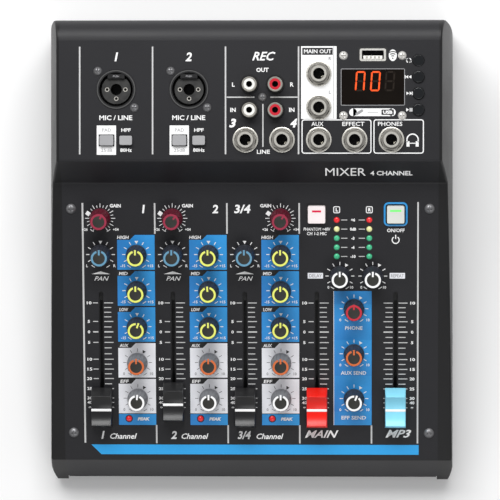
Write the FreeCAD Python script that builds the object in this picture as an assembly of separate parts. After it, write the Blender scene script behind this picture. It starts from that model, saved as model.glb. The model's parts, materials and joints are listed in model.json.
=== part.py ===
import FreeCAD, Part
import math
import os
from FreeCAD import Placement, Rotation, Vector

# A small table-top mixing console: a bent steel cover between two moulded cheeks, on a base plate.
# Millimetres. +X to the user's right, +Y to the back, +Z up. Origin under the middle, on the table.

# --- case
cover_half_width = 108.0  # seam between the cover and a cheek
cheek_thickness = 9.0  # how far a cheek stands outside its seam, at its widest
foot_height = 4.0
lip_run = 12.8  # front lip, leaning back
lip_height = 28.0  # front edge of the control panel above the table
panel_run = 160.4  # control panel, measured level
panel_slope = 9.0  # degrees
step_run = 12.2  # step between the control panel and the connector deck
deck_run = 80.6  # connector deck, back bend included
deck_height = 71.0
cover_sheet = 1.2
base_sheet = 1.2
through = 3.0  # how far a cutter reaches past the sheet's outside, both ways
screw_clearance = 0.15
fitting_clearance = 0.15  # round a socket's nose, the window and the pin-jack collars
loose_clearance = 0.25  # round the jacks, the lamps, the inlet and the USB socket
fold_radius = 2.0
back_bend_radius = 12.0
flange_run = 12.0  # folded edge that the base is screwed to
seam_gap = 0.1  # between sheets that are screwed together

# --- cheeks
cheek_wall = 2.5
side_radius = 272.0  # bulge of the outside, seen from the front
belt_height = 8.0  # where a cheek is widest
cheek_back_radius = 8.0
cheek_front_run = 12.0  # length of the taper at the front corner
cheek_front_taper = 2.6
ledge_width = 7.6  # lies under the cover's edge
rail_fillet = 1.2
boss_radius = 3.0
panel_boss_length = 12.0
base_boss_length = 12.0
base_boss_inset = 3.4  # from the ledge's inner edge

# --- channel strips on the control panel; s runs up the slope from the front edge
channel_pitch = 41.5
channel_edge = -96.3  # left border of channel one
fader_offset = 10.1  # from a channel's left border to its fader and pan
tone_offset = 30.8  # from a channel's left border to its column of small dials
gain_offset = (fader_offset, fader_offset, tone_offset)
row_start = 36.3  # effect row
row_pitch = 21.1
main_fader_x = 38.2
player_fader_x = 83.5
fader_start = 31.0  # s of a fader's stem at the bottom of its travel
fader_travel = 60.0
fader_two_rest = 3.2  # channel two stands a little above the bottom
echo_x = (51.5, 70.4)
echo_s = 108.2
send_x = 59.6
send_s = (89.1, 62.7, 36.3)
square_button_x = (38.2, 83.5)
square_button_s = 144.2
lamp_x = (49.7, 68.4)
lamp_start = 119.6
lamp_pitch = 5.3
lamp_rows = 5
peak_offset = 25.6  # from a channel's left border to its peak lamp
peak_s = 24.3
panel_screw_inset = 5.1  # from the seam
panel_screw_s = (15.9, 147.3)

# --- connector deck; d runs back from the top of the step
combo_offset = 20.7  # from a channel's left border
combo_d = 40.7
pad_offset = 15.3
lowcut_offset = 26.3
deck_button_d = 11.7
jack_row_d = 12.0
line_jack_x = (-2.0, 18.8)
main_jack_x = 39.7
main_jack_d = (30.4, 49.5)
send_jack_x = (39.7, 60.0, 80.9)
pin_jack_x = (0.3, 15.0)
pin_jack_d = (28.9, 43.5)
player_x = 70.35
display_d = 41.9
usb_d = 60.2
player_screw_d = 42.7
player_screw_spacing = (33.3, 34.1)
player_button_x = 96.2
player_button_start = 29.0
player_button_pitch = 9.33
inlet_x = -84.0
inlet_height = 30.0

# --- knobs and potentiometers
knob_radius = 6.0
knob_top_radius = 4.95
knob_skirt = 2.4
knob_step = 0.45  # from the skirt in to the grip
knob_height = 13.0
knob_lift = 1.0  # between the panel and the skirt
knob_recess = 1.6
shaft_radius = 3.0
shaft_flat = 2.2  # from the axis to the flat of the D
shaft_top = 11.6
bushing_radius = 3.4
bushing_top = 0.7
pot_width = 9.8
pot_height = 6.8
board_gap = 12.5  # from the top of the control panel to its board
board_sheet = 1.6
turn_clearance = 0.05
push_clearance = 0.02
hole_clearance = 0.35

# --- faders
cap_length = 23.8
cap_width = 12.2
cap_lip_length = 17.2  # between the two lips on top
cap_height = 10.6
cap_lift = 1.0
cap_dish = 3.4
cap_side_draft = 0.5
stem_width = 4.0  # along the travel
stem_thick = 1.2
stem_in_cap = 6.0
slot_width = 2.6
slot_end_flat = 0.1  # left straight at the slot's round ends
slot_beyond = 8.0  # the slot runs on past the stem's travel
track_width = 8.4
track_beyond = 8.5
track_drop = 3.0  # from the top of the panel to the track
track_wall = 1.3
slider_thick = 3.0
slider_length = 8.0
slider_low = 2.0  # above the board
slider_high = 5.0
slide_clearance = 0.25

# --- buttons
square_cap = 10.0
square_cap_top = 3.4
pad_cap = (8.0, 5.9)
lowcut_cap = (7.2, 5.3)
small_cap_top = 2.2
press_travel = 2.0
press_room = 0.6  # left under a cap that is fully pressed
cap_skirt = 0.9  # below the sheet when released
cap_corner = 0.9
cap_rim = 0.3
button_clearance = 0.3
plunger_width = 3.0
switch_width = 8.4
small_switch_width = 7.0
plunger_grip = 3.0  # how far the plunger reaches into its switch when released
round_cap_radius = 3.2
round_cap_top = (0.4, 1.3, 1.3, 1.3)
round_travel = 0.5
round_switch_width = 6.0
round_switch_height = 3.4

# --- sockets
deck_board_gap = 22.0
jack_bore = 3.25
jack_chamber = 3.6
jack_bush = 4.5
jack_nose = 4.6  # above the deck
jack_lead_in = 0.2  # the bore's lower end above the deck
jack_body = (15.0, 13.0)
jack_floor = 2.0
washer_radius = 7.3
washer_thick = 0.6
nut_flats = 11.6
nut_thick = 2.2
combo_nose = 11.15
combo_rim = 0.4
combo_groove = (8.45, 9.6)
combo_groove_depth = 11.0
combo_insert = 8.25
combo_face = 1.7  # below the deck
combo_flat = 6.0
combo_flange = 27.0
combo_flange_thick = 2.6
combo_body_radius = 12.2
combo_screw_offset = 10.4
contact_hole = 1.3
contact_circle = 5.2
latch_size = (9.6, 2.6)
contact_depth = 9.0
latch_gap = 0.2
insert_clearance = 0.05
pin_shell = 4.15
pin_shell_wall = 0.5
pin_shell_shoulder = 0.25
pin_shell_top = 6.5
pin_plug_hole = 1.7
pin_collar = 5.1
pin_collar_top = 1.0
pin_block_margin = 7.4
pin_block_depth = 13.0
usb_shell = (13.2, 5.8)
usb_lips = (14.9, 7.1)
usb_lip_corner = 1.0
usb_wall = 0.4
usb_rise = 0.1  # above the deck
usb_depth = 14.0
usb_tongue = (10.8, 1.9)
window_size = (35.4, 19.9)
window_corner = 0.4
window_top = 0.15
player_board_gap = 8.0
player_board = (50.0, 46.6)
player_board_right = 99.8
inlet_nose = 5.5
inlet_sunk = 0.1
inlet_hole = 2.85
inlet_pin = 1.05
inlet_depth = 10.0
inlet_body = 12.0
inlet_body_depth = 13.0

# --- lamps, boards, posts, screws and feet
lamp_radius = 1.7
lamp_top = 1.2
post_radius = 2.5
post_bore = 7.0
post_x = (-92.0, 17.8, 92.0)
post_s = (12.0, 150.0)
deck_posts = ((-94.5, 6.0), (-17.0, 6.0), (-94.5, 60.0), (-17.0, 60.0))  # left board
deck_posts += ((-8.0, 60.0), (30.0, 60.0), (93.0, 8.0))  # right board
board_x = (-98.0, -11.8, 52.0, 96.5)  # connector boards: left end, split, start of the wing, right end
board_d = (2.5, 64.5)
wing_length = 19.5
board_margin = 6.0  # control board short of the panel's two ends
board_beyond = 4.0  # control board past its outer posts
screw_radius = 1.5
screw_head = 2.9
screw_head_height = 1.7
small_screw_head = 2.5
cross_width = 0.7
screw_length = 8.0
small_screw_length = 5.0
base_clearance = 0.3  # between the base and the inside of a cheek
base_margin = 1.5  # base plate short of the case's front and back
base_screw_x = 62.0
base_screw_cheek_y = 96.0
foot_radius = 9.0
foot_inset = (20.0, 22.0)  # from the seam, and from the front and the back
foot_screw_recess = 1.6

# --- what follows from them
slope = math.radians(panel_slope)
front_y = -(lip_run + panel_run + step_run + deck_run) / 2
lip_y = front_y + lip_run
step_y = lip_y + panel_run
step_z = lip_height + panel_run * math.tan(slope)
deck_y = step_y + step_run
back_y = deck_y + deck_run
half_width = cover_half_width + cheek_thickness
case_bottom = foot_height
base_top = foot_height + base_sheet
flange_bottom = base_top + seam_gap
ledge_x = cover_half_width - ledge_width
panel_length = panel_run / math.cos(slope)
switch_top = -(cover_sheet + cap_skirt + press_travel + press_room)
round_switch_top = -player_board_gap + round_switch_height


def on_panel(x, s, turn=0.0):
    """Frame on the control panel: local y up the slope, local z out of it, turned clockwise."""
    base = Vector(x, lip_y + s * math.cos(slope), lip_height + s * math.sin(slope))
    return Placement(base, Rotation(Vector(1, 0, 0), panel_slope) * Rotation(Vector(0, 0, 1), -turn))


def on_deck(x, d):
    return Placement(Vector(x, deck_y + d, deck_height), Rotation())


def placed(shape, frame):
    moved = shape.copy()
    moved.Placement = frame.multiply(shape.Placement)
    return moved


def moved_to(shape, x, y):
    return placed(shape, Placement(Vector(x, y, 0), Rotation()))


def rod(radius, low, high, x=0.0, y=0.0):
    return Part.makeCylinder(radius, high - low, Vector(x, y, low))


def block(width, length, low, high, x=0.0, y=0.0):
    return Part.makeBox(width, length, high - low, Vector(x - width / 2, y - length / 2, low))


def tube(outer, inner, low, high, x=0.0, y=0.0):
    return rod(outer, low, high, x, y).cut(rod(inner, low - 1, high + 1, x, y))


def spun(points):
    """Solid of revolution about local z from (radius, height) points."""
    corners = [Vector(r, 0, z) for r, z in points]
    return Part.Face(Part.makePolygon(corners + corners[:1])).revolve(Vector(), Vector(0, 0, 1), 360)


def rounded_block(width, length, low, high, radius, x=0.0, y=0.0):
    body = block(width, length, low, high, x, y)
    upright = [e for e in body.Edges if abs(e.tangentAt(e.FirstParameter).z) > 0.99]
    return body.makeFillet(radius, upright)


def top_edges(body, top):
    return [edge for edge in body.Edges if edge.BoundBox.ZMin > top - 0.01]


def cutter(width, length, corner):
    return rounded_block(width, length, -through, through, corner)


def widened(size, clearance):
    return size[0] + 2 * clearance, size[1] + 2 * clearance


def d_rod(radius, flat, low, high):
    return rod(radius, low, high).cut(block(radius, 3 * radius, low - 1, high + 1, flat + radius / 2))


def pan_screw(head, length, shank=screw_radius):
    """Cross-head screw, its head seated on z = 0 and its shank below."""
    dome_radius = (head ** 2 + screw_head_height ** 2) / (2 * screw_head_height)
    dome = Part.makeSphere(dome_radius, Vector(0, 0, screw_head_height - dome_radius))
    top = dome.common(rod(head, 0, screw_head_height + 1))
    for across in ((1.15 * head, cross_width), (cross_width, 1.15 * head)):
        top = top.cut(block(*across, screw_head_height * 0.45, screw_head_height + 1))
    return top.fuse(rod(shank, -length, 0.2)).removeSplitter()


# --- the folded outline, seen from the side


def outline_points(bottom, flange=0.0):
    """Corners of the case's outside as (y, z), front to back, with the radius at each."""
    lean = lip_run / (lip_height - case_bottom)
    toe_y = front_y + (bottom - case_bottom) * lean
    points = [(toe_y, bottom), (lip_y, lip_height), (step_y, step_z), (deck_y, deck_height)]
    points += [(back_y, deck_height), (back_y, bottom)]
    radii = [fold_radius, fold_radius, fold_radius, fold_radius, back_bend_radius, fold_radius]
    if flange:
        points = [(toe_y + flange, bottom)] + points + [(back_y - flange, bottom)]
        radii = [0.0] + radii + [0.0]
    return points, radii


def unit(a, b):
    size = math.dist(a, b)
    return (b[0] - a[0]) / size, (b[1] - a[1]) / size


def pulled_in(points, radii, inset):
    """The same outline moved inwards: the inside lies to the right of the way it runs."""
    ways = [unit(a, b) for a, b in zip(points, points[1:])]
    sides = [(w[1], -w[0]) for w in ways]
    moved = [(points[0][0] + inset * sides[0][0], points[0][1] + inset * sides[0][1])]
    new_radii = [0.0]
    for corner, w0, w1, n0, n1, radius in zip(points[1:-1], ways, ways[1:], sides, sides[1:], radii[1:-1]):
        cross = w0[0] * w1[1] - w0[1] * w1[0]
        along = inset * ((n1[0] - n0[0]) * w1[1] - (n1[1] - n0[1]) * w1[0]) / cross
        moved.append((corner[0] + inset * n0[0] + along * w0[0], corner[1] + inset * n0[1] + along * w0[1]))
        new_radii.append(max(radius + math.copysign(inset, cross), 0.0))
    moved.append((points[-1][0] + inset * sides[-1][0], points[-1][1] + inset * sides[-1][1]))
    return moved, new_radii + [0.0]


def rounded_edges(points, radii, x):
    """Lines with arcs at the corners, in the plane at x."""
    edges = []
    start = points[0]
    for before, corner, after, radius in zip(points, points[1:], points[2:], radii[1:]):
        w0, w1 = unit(before, corner), unit(corner, after)
        turn = math.acos(max(-1.0, min(1.0, w0[0] * w1[0] + w0[1] * w1[1])))
        cut = radius * math.tan(turn / 2)
        into = (corner[0] - cut * w0[0], corner[1] - cut * w0[1])
        out = (corner[0] + cut * w1[0], corner[1] + cut * w1[1])
        edges.append(Part.makeLine(Vector(x, *start), Vector(x, *into)))
        if radius > 0:
            inwards = unit(w0, w1)
            depth = radius / math.cos(turn / 2) - radius
            middle = (corner[0] + depth * inwards[0], corner[1] + depth * inwards[1])
            edges.append(Part.Arc(Vector(x, *into), Vector(x, *middle), Vector(x, *out)).toShape())
        start = out
    edges.append(Part.makeLine(Vector(x, *start), Vector(x, *points[-1])))
    return edges


def case_block(inset, bottom, x0, x1):
    """Solid of the whole case outline pulled in by inset, above bottom and between two x."""
    below = foot_height  # the leaning lip's inner outline starts a little under the table
    points, radii = pulled_in(*outline_points(0.0), inset)
    edges = rounded_edges(points, radii, x0)
    edges.append(Part.makeLine(Vector(x0, *points[-1]), Vector(x0, *points[0])))
    solid = Part.Face(Part.Wire(edges)).extrude(Vector(x1 - x0, 0, 0))
    floor = Part.makeBox(x1 - x0, 4 * back_y, bottom + below, Vector(x0, 2 * front_y, -below))
    return solid.cut(floor)


# --- layout: every control with its frame


def channel_x(channel, offset):
    return channel_edge + (channel - 1) * channel_pitch + offset


knob_rows = {"effect": 0, "aux": 1, "low": 2, "mid": 3, "high": 4}
rest_turn = {"gain_knob_1": 25.0, "gain_knob_2": 38.0, "gain_knob_3": 30.0, "low_knob_1": 20.0}
rest_turn.update({"mid_knob_2": -5.0, "effect_knob_1": 6.0, "effect_send_knob": 22.0})
knobs = {}
for channel in (1, 2, 3):
    strip = {row: (tone_offset, number) for row, number in knob_rows.items()}
    strip["pan"] = (fader_offset, knob_rows["high"])
    strip["gain"] = (gain_offset[channel - 1], knob_rows["high"] + 1)
    for row, (offset, number) in strip.items():
        knobs[f"{row}_knob_{channel}"] = (channel_x(channel, offset), row_start + number * row_pitch)
knobs["delay_knob"], knobs["repeat_knob"] = [(x, echo_s) for x in echo_x]
for name, s in zip(("phones_knob", "aux_send_knob", "effect_send_knob"), send_s):
    knobs[name] = (send_x, s)
knob_frames = {name: on_panel(x, s, rest_turn.get(name, 0.0)) for name, (x, s) in knobs.items()}

fader_x = {f"fader_{channel}": channel_x(channel, fader_offset) for channel in (1, 2, 3)}
fader_x.update({"main_fader": main_fader_x, "player_fader": player_fader_x})
fader_rest = {name: fader_two_rest if name == "fader_2" else 0.0 for name in fader_x}

lamp_frames = [on_panel(x, lamp_start + row * lamp_pitch) for x in lamp_x for row in range(lamp_rows)]
lamp_frames += [on_panel(channel_x(channel, peak_offset), peak_s) for channel in (1, 2, 3)]

square_names = ("phantom_button", "power_button")
square_buttons = {name: on_panel(x, square_button_s) for name, x in zip(square_names, square_button_x)}
small_buttons = {}
for channel in (1, 2):
    for button, offset, size in (("pad", pad_offset, pad_cap), ("lowcut", lowcut_offset, lowcut_cap)):
        frame = on_deck(channel_x(channel, offset), deck_button_d)
        small_buttons[f"{button}_button_{channel}"] = (frame, size)
round_names = ("mode_button", "previous_button", "next_button", "play_button")
round_buttons = {
    name: (on_deck(player_button_x, player_button_start + (3 - i) * player_button_pitch), round_cap_top[i])
    for i, name in enumerate(round_names)
}

jack_frames = [on_deck(x, jack_row_d) for x in line_jack_x + send_jack_x]
jack_frames += [on_deck(main_jack_x, d) for d in main_jack_d]
combo_frames = [on_deck(channel_x(channel, combo_offset), combo_d) for channel in (1, 2)]
pin_frames = [on_deck(x, d) for x in pin_jack_x for d in pin_jack_d]
pin_centre = on_deck(sum(pin_jack_x) / 2, sum(pin_jack_d) / 2)
player_screw_frames = [
    on_deck(player_x + i * player_screw_spacing[0] / 2, player_screw_d + j * player_screw_spacing[1] / 2)
    for i in (-1, 1)
    for j in (-1, 1)
]
combo_screw_frames = [
    frame.multiply(Placement(Vector(i * combo_screw_offset, -i * combo_screw_offset, 0), Rotation()))
    for frame in combo_frames
    for i in (-1, 1)
]
panel_screw_frames = [
    on_panel(side * (cover_half_width - panel_screw_inset), s) for side in (-1, 1) for s in panel_screw_s
]
post_frames = [on_panel(x, s) for x in post_x for s in post_s]
deck_post_frames = [on_deck(x, d) for x, d in deck_posts]
inlet_frame = Placement(Vector(inlet_x, back_y, inlet_height), Rotation(Vector(1, 0, 0), -90))
flange_screw = 0.6 * flange_run  # from the front and from the back
flange_y = (front_y + flange_screw, back_y - flange_screw)
base_screws = [(i * base_screw_x, y) for i in (-1, 1) for y in flange_y]
base_screws += [(i * (ledge_x + base_boss_inset), j * base_screw_cheek_y) for i in (-1, 1) for j in (-1, 1)]
feet = [
    (i * (cover_half_width - foot_inset[0]), y)
    for i in (-1, 1)
    for y in (front_y + foot_inset[1], back_y - foot_inset[1])
]


# --- case


def top_cover():
    points, radii = outline_points(flange_bottom, flange_run)
    inner_points, inner_radii = pulled_in(points, radii, cover_sheet)
    x = -cover_half_width
    edges = rounded_edges(points, radii, x) + rounded_edges(inner_points, inner_radii, x)
    edges.append(Part.makeLine(Vector(x, *points[0]), Vector(x, *inner_points[0])))
    edges.append(Part.makeLine(Vector(x, *points[-1]), Vector(x, *inner_points[-1])))
    wire = Part.Wire(Part.__sortEdges__(edges))
    sheet = Part.Face(wire).extrude(Vector(2 * cover_half_width, 0, 0))
    posts = [placed(rod(post_radius, -board_gap, -cover_sheet / 2), f) for f in post_frames]
    posts += [placed(rod(post_radius, -deck_board_gap, -cover_sheet / 2), f) for f in deck_post_frames]
    sheet = sheet.fuse(posts)
    round_holes = [
        (bushing_radius + hole_clearance, knob_frames.values()),
        (lamp_radius + loose_clearance, lamp_frames),
        (round_cap_radius + button_clearance, [frame for frame, _ in round_buttons.values()]),
        (jack_bush + loose_clearance, jack_frames),
        (combo_nose + fitting_clearance, combo_frames),
        (pin_collar + fitting_clearance, pin_frames),
        (screw_radius + screw_clearance, combo_screw_frames + player_screw_frames),
        (screw_radius + screw_clearance, panel_screw_frames + [pin_centre]),
        (inlet_nose + loose_clearance, [inlet_frame]),
    ]
    holes = [placed(rod(radius, -through, through), f) for radius, frames in round_holes for f in frames]
    slot = cutter(slot_width, fader_travel + 2 * slot_beyond, (slot_width - slot_end_flat) / 2)
    holes += [placed(slot, on_panel(x, fader_start + fader_travel / 2)) for x in fader_x.values()]
    buttons = [(frame, (square_cap, square_cap)) for frame in square_buttons.values()]
    for frame, size in buttons + list(small_buttons.values()):
        hole = cutter(*widened(size, button_clearance), cap_corner + button_clearance)
        holes.append(placed(hole, frame))
    usb_hole = cutter(*widened(usb_lips, loose_clearance), usb_lip_corner + loose_clearance)
    holes.append(placed(usb_hole, on_deck(player_x, usb_d)))
    window_hole = cutter(*widened(window_size, fitting_clearance), window_corner + fitting_clearance)
    holes.append(placed(window_hole, on_deck(player_x, display_d)))
    flange_hole = rod(screw_radius + screw_clearance, 0, flange_bottom + through)
    holes += [moved_to(flange_hole, x, y) for x, y in base_screws[:4]]
    bore = rod(screw_radius + push_clearance, -board_gap - 1, -board_gap + post_bore)
    holes += [placed(bore, f) for f in post_frames]
    bore = rod(screw_radius + push_clearance, -deck_board_gap - 1, -deck_board_gap + post_bore)
    holes += [placed(bore, f) for f in deck_post_frames]
    return sheet.cut(holes)


def plan_block(inset, height):
    """Plan outline of the right-hand cheek: rounded back corner, tapered front corner."""
    side, back, front = half_width - inset, back_y - inset, front_y + inset
    toe = side - cheek_front_taper
    radius = cheek_back_radius - inset
    reach = cheek_front_run
    bow = (reach ** 2 + cheek_front_taper ** 2) / (2 * cheek_front_taper)
    half_turn = math.asin(reach / bow) / 2
    nose = Vector(side - bow + bow * math.cos(half_turn), front + reach - bow * math.sin(half_turn), 0)
    bend = radius * (1 - math.sqrt(0.5))
    corners = [Vector(0, back, 0), Vector(0, front, 0), Vector(toe, front, 0)]
    wall = [Vector(side, front + reach, 0), Vector(side, back - radius, 0), Vector(side - radius, back, 0)]
    edges = [Part.makeLine(corners[0], corners[1]), Part.makeLine(corners[1], corners[2])]
    edges.append(Part.Arc(corners[2], nose, wall[0]).toShape())
    edges.append(Part.makeLine(wall[0], wall[1]))
    edges.append(Part.Arc(wall[1], Vector(side - bend, back - bend, 0), wall[2]).toShape())
    edges.append(Part.makeLine(wall[2], corners[0]))
    return Part.Face(Part.Wire(edges)).extrude(Vector(0, 0, height))


def bulge(inset):
    """Long cylinder whose surface is the cheek's outside."""
    start = Vector(half_width - side_radius, 2 * front_y, belt_height)
    return Part.makeCylinder(side_radius - inset, 4 * back_y, start, Vector(0, 1, 0))


def cheek_form(inset, bottom, x0):
    form = case_block(inset, bottom, x0, half_width + 1)
    return form.common(bulge(inset)).common(plan_block(inset, 2 * deck_height))


def right_cheek():
    outside = cheek_form(0.0, case_bottom, cover_half_width)
    rail = [e for e in outside.Edges if is_rail_edge(e)]
    outside = outside.makeFillet(rail_fillet, rail)
    ledge_inset = cover_sheet + seam_gap
    ledge = case_block(ledge_inset, flange_bottom + fold_radius + seam_gap, ledge_x, cover_half_width + 1)
    body = outside.fuse(ledge)
    hollow_inset = ledge_inset + cheek_wall
    hollow = cheek_form(hollow_inset, base_top + seam_gap + cheek_wall, ledge_x - 1)
    body = body.cut(hollow)
    tray = cheek_form(cheek_wall, case_bottom / 2, ledge_x - 1).common(
        Part.makeBox(half_width, 4 * back_y, base_top + seam_gap, Vector(0, 2 * front_y, 0))
    )
    body = body.cut(tray)
    boss = rod(boss_radius, -panel_boss_length, -ledge_inset - cheek_wall / 2)
    bosses = [placed(boss, frame) for frame in right_screws()]
    low = base_top + seam_gap
    right_base = [(x, y) for x, y in base_screws[4:] if x > 0]
    bosses += [rod(boss_radius, low + cheek_wall / 2, low + base_boss_length, x, y) for x, y in right_base]
    body = body.fuse(bosses)
    bore = screw_radius + push_clearance
    holes = [placed(rod(bore, -panel_boss_length - 1, 0), frame) for frame in right_screws()]
    holes += [rod(bore, 0, low + base_boss_length + 1, x, y) for x, y in right_base]
    return body.cut(holes)


def right_screws():
    return [frame for frame in panel_screw_frames if frame.Base.x > 0]


def is_rail_edge(edge):
    """Edges where the bulged side meets the top, from the front lip to the back wall."""
    box = edge.BoundBox
    middle = edge.valueAt((edge.FirstParameter + edge.LastParameter) / 2)
    outer = middle.x > cover_half_width + 0.8 and box.XMin > cover_half_width + 0.4
    level = middle.z > lip_height - 1.5
    across = box.YLength > 0.3 and middle.y < back_y - back_bend_radius - 0.5
    return outer and level and across


def base_plate():
    overhang = cheek_form(cheek_wall + base_clearance, case_bottom, cover_half_width - 2)
    overhang = overhang.common(Part.makeBox(half_width, 4 * back_y, base_top, Vector(0, 2 * front_y, 0)))
    length = back_y - front_y - 2 * base_margin
    middle = block(2 * cover_half_width - 1, length, foot_height, base_top)
    plate = middle.fuse([overhang, overhang.mirror(Vector(), Vector(1, 0, 0))]).removeSplitter()
    hole = rod(screw_radius + screw_clearance, 0, base_top + through)
    holes = [moved_to(hole, x, y) for x, y in base_screws + feet]
    return plate.cut(holes)


def rubber_feet():
    side = [(foot_radius - 0.8, 0), (foot_radius, 0.8), (foot_radius - 0.6, foot_height)]
    pad = spun([(0, 0)] + side + [(0, foot_height)])
    pad = pad.cut(rod(screw_head + hole_clearance, -1, foot_screw_recess + screw_head_height))
    pad = pad.cut(rod(screw_radius + screw_clearance, -1, foot_height + 1))
    return Part.makeCompound([moved_to(pad, x, y) for x, y in feet])


# --- knobs and potentiometers


def knob_shape():
    top = knob_lift + knob_height
    shoulder = knob_lift + knob_skirt
    outside = [(0, knob_lift), (knob_radius, knob_lift), (knob_radius, shoulder)]
    outside += [(knob_radius - knob_step, shoulder + knob_step)]
    outside += [(knob_top_radius, top - 0.4), (knob_top_radius - 0.4, top), (0, top)]
    cap = spun(outside)
    cap = cap.cut(rod(bushing_radius + 1.0, 0, knob_lift + knob_recess))
    cap = cap.cut(d_rod(shaft_radius + push_clearance, shaft_flat + push_clearance, 0, shaft_top + 0.4))
    cap = cap.cut(block(1.2, 2.6, top - 0.3, top + 1, 0, knob_top_radius - 1.9))
    stub = rod(shaft_radius, -board_gap + 1.2, knob_lift + knob_recess)
    shaft = stub.fuse(d_rod(shaft_radius, shaft_flat, knob_lift + knob_recess, shaft_top)).removeSplitter()
    return Part.makeCompound([cap, shaft])


def pot_shape():
    body = rounded_block(pot_width, pot_width, -board_gap, -board_gap + pot_height, 0.8)
    body = body.fuse(rod(bushing_radius, -board_gap + pot_height - 0.5, bushing_top))
    body = body.cut(rod(shaft_radius + turn_clearance, -board_gap + 1.0, bushing_top + 1))
    return body.removeSplitter()


# --- faders


def saddle_cap():
    base, top = cap_lift, cap_lift + cap_height
    foot, lip = cap_length / 2, cap_lip_length / 2
    sides = []
    corners = [Vector(0, lip, top), Vector(0, foot, base), Vector(0, -foot, base), Vector(0, -lip, top)]
    sides += [Part.makeLine(a, b) for a, b in zip(corners, corners[1:])]
    sides.append(Part.Arc(corners[3], Vector(0, 0, top - cap_dish), corners[0]).toShape())
    body = Part.Face(Part.Wire(sides)).extrude(Vector(cap_width, 0, 0))
    body.translate(Vector(-cap_width / 2, 0, 0))
    draft = math.degrees(math.atan(cap_side_draft / cap_height))
    for side in (-1, 1):
        slab = Part.makeBox(4, 2 * cap_length, 2 * top, Vector(0 if side > 0 else -4, -cap_length, 0))
        slab.rotate(Vector(), Vector(0, 1, 0), -side * draft)
        slab.translate(Vector(side * cap_width / 2, 0, base))
        body = body.cut(slab)
    lips = [e for e in body.Edges if e.BoundBox.XLength > cap_width / 2 and e.CenterOfMass.z > base + 1]
    body = body.makeFillet(0.5, lips)
    room = 2 * push_clearance
    return body.cut(block(stem_thick + room, stem_width + room, base - 1, base + stem_in_cap + 0.3))


def fader_stem():
    low = -board_gap + (slider_low + slider_high) / 2
    stem = block(stem_thick, stem_width, low, cap_lift + stem_in_cap)
    slider = block(slider_thick, slider_length, -board_gap + slider_low, -board_gap + slider_high)
    return stem.fuse(slider).removeSplitter()


def fader_track():
    length = fader_travel + 2 * track_beyond
    low, high = -board_gap, -track_drop
    body = rounded_block(track_width, length, low, high, 0.6)
    run = fader_travel + slider_length + 2 * slide_clearance
    hollow = block(slider_thick + 2 * slide_clearance, run, low + 1.6, high - track_wall)
    mouth = block(stem_thick + 2 * slide_clearance, fader_travel + stem_width + 1.0, low + 2, high + 1)
    return body.cut(hollow).cut(mouth)


# --- buttons


def button_shape(width, length, top):
    """Cap with its plunger in one piece; the plunger ends inside the switch."""
    cap = rounded_block(width, length, -cover_sheet - cap_skirt, top, cap_corner)
    cap = cap.makeFillet(cap_rim, top_edges(cap, top))
    plunger = block(plunger_width, plunger_width, switch_top - plunger_grip, 0)
    return cap.fuse(plunger).removeSplitter()


def switch_shape(width, low, top):
    body = rounded_block(width, width, low, top, 0.5)
    opening = plunger_width + 2 * slide_clearance
    return body.cut(block(opening, opening, top - plunger_grip - press_travel - 0.6, top + 1))


def round_button(top):
    cap = rod(round_cap_radius, -cover_sheet - cap_skirt, top)
    cap = cap.makeFillet(cap_rim, top_edges(cap, top))
    foot = rod(round_cap_radius * 0.5, round_switch_top, -cover_sheet - cap_skirt + 0.2)
    return cap.fuse(foot).removeSplitter()


def round_switch():
    low = -player_board_gap
    body = block(round_switch_width, round_switch_width, low, round_switch_top - round_travel - 0.1)
    foot = round_cap_radius * 0.5
    wall = tube(foot + 1.0, foot + slide_clearance, low, round_switch_top - 0.1)
    return body.fuse(wall).removeSplitter()


# --- sockets


def phone_jack():
    body = block(*jack_body, -deck_board_gap, -cover_sheet - seam_gap)
    body = body.fuse(rod(jack_bush, -cover_sheet - 1, jack_nose))
    body = body.cut(rod(jack_chamber, -deck_board_gap + jack_floor, jack_lead_in))
    return body.cut(rod(jack_bore, jack_lead_in - 0.5, jack_nose + 1)).removeSplitter()


def jack_fixings():
    washer = tube(washer_radius, jack_bush + 0.1, 0, washer_thick)
    corner = nut_flats / 2 / math.cos(math.pi / 6)
    turns = [math.pi / 3 * i for i in range(7)]
    ring = [Vector(corner * math.cos(turn), corner * math.sin(turn), washer_thick) for turn in turns]
    nut = Part.Face(Part.makePolygon(ring)).extrude(Vector(0, 0, nut_thick))
    top = washer_thick + nut_thick
    foot = (corner + 1.2, washer_thick - 1)
    cone = spun([(0, foot[1]), foot, (nut_flats / 2 - 0.2, top), (0, top)])
    nut = nut.common(cone).cut(rod(jack_bush + turn_clearance, 0, top + 1))
    return [washer, nut]


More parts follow.
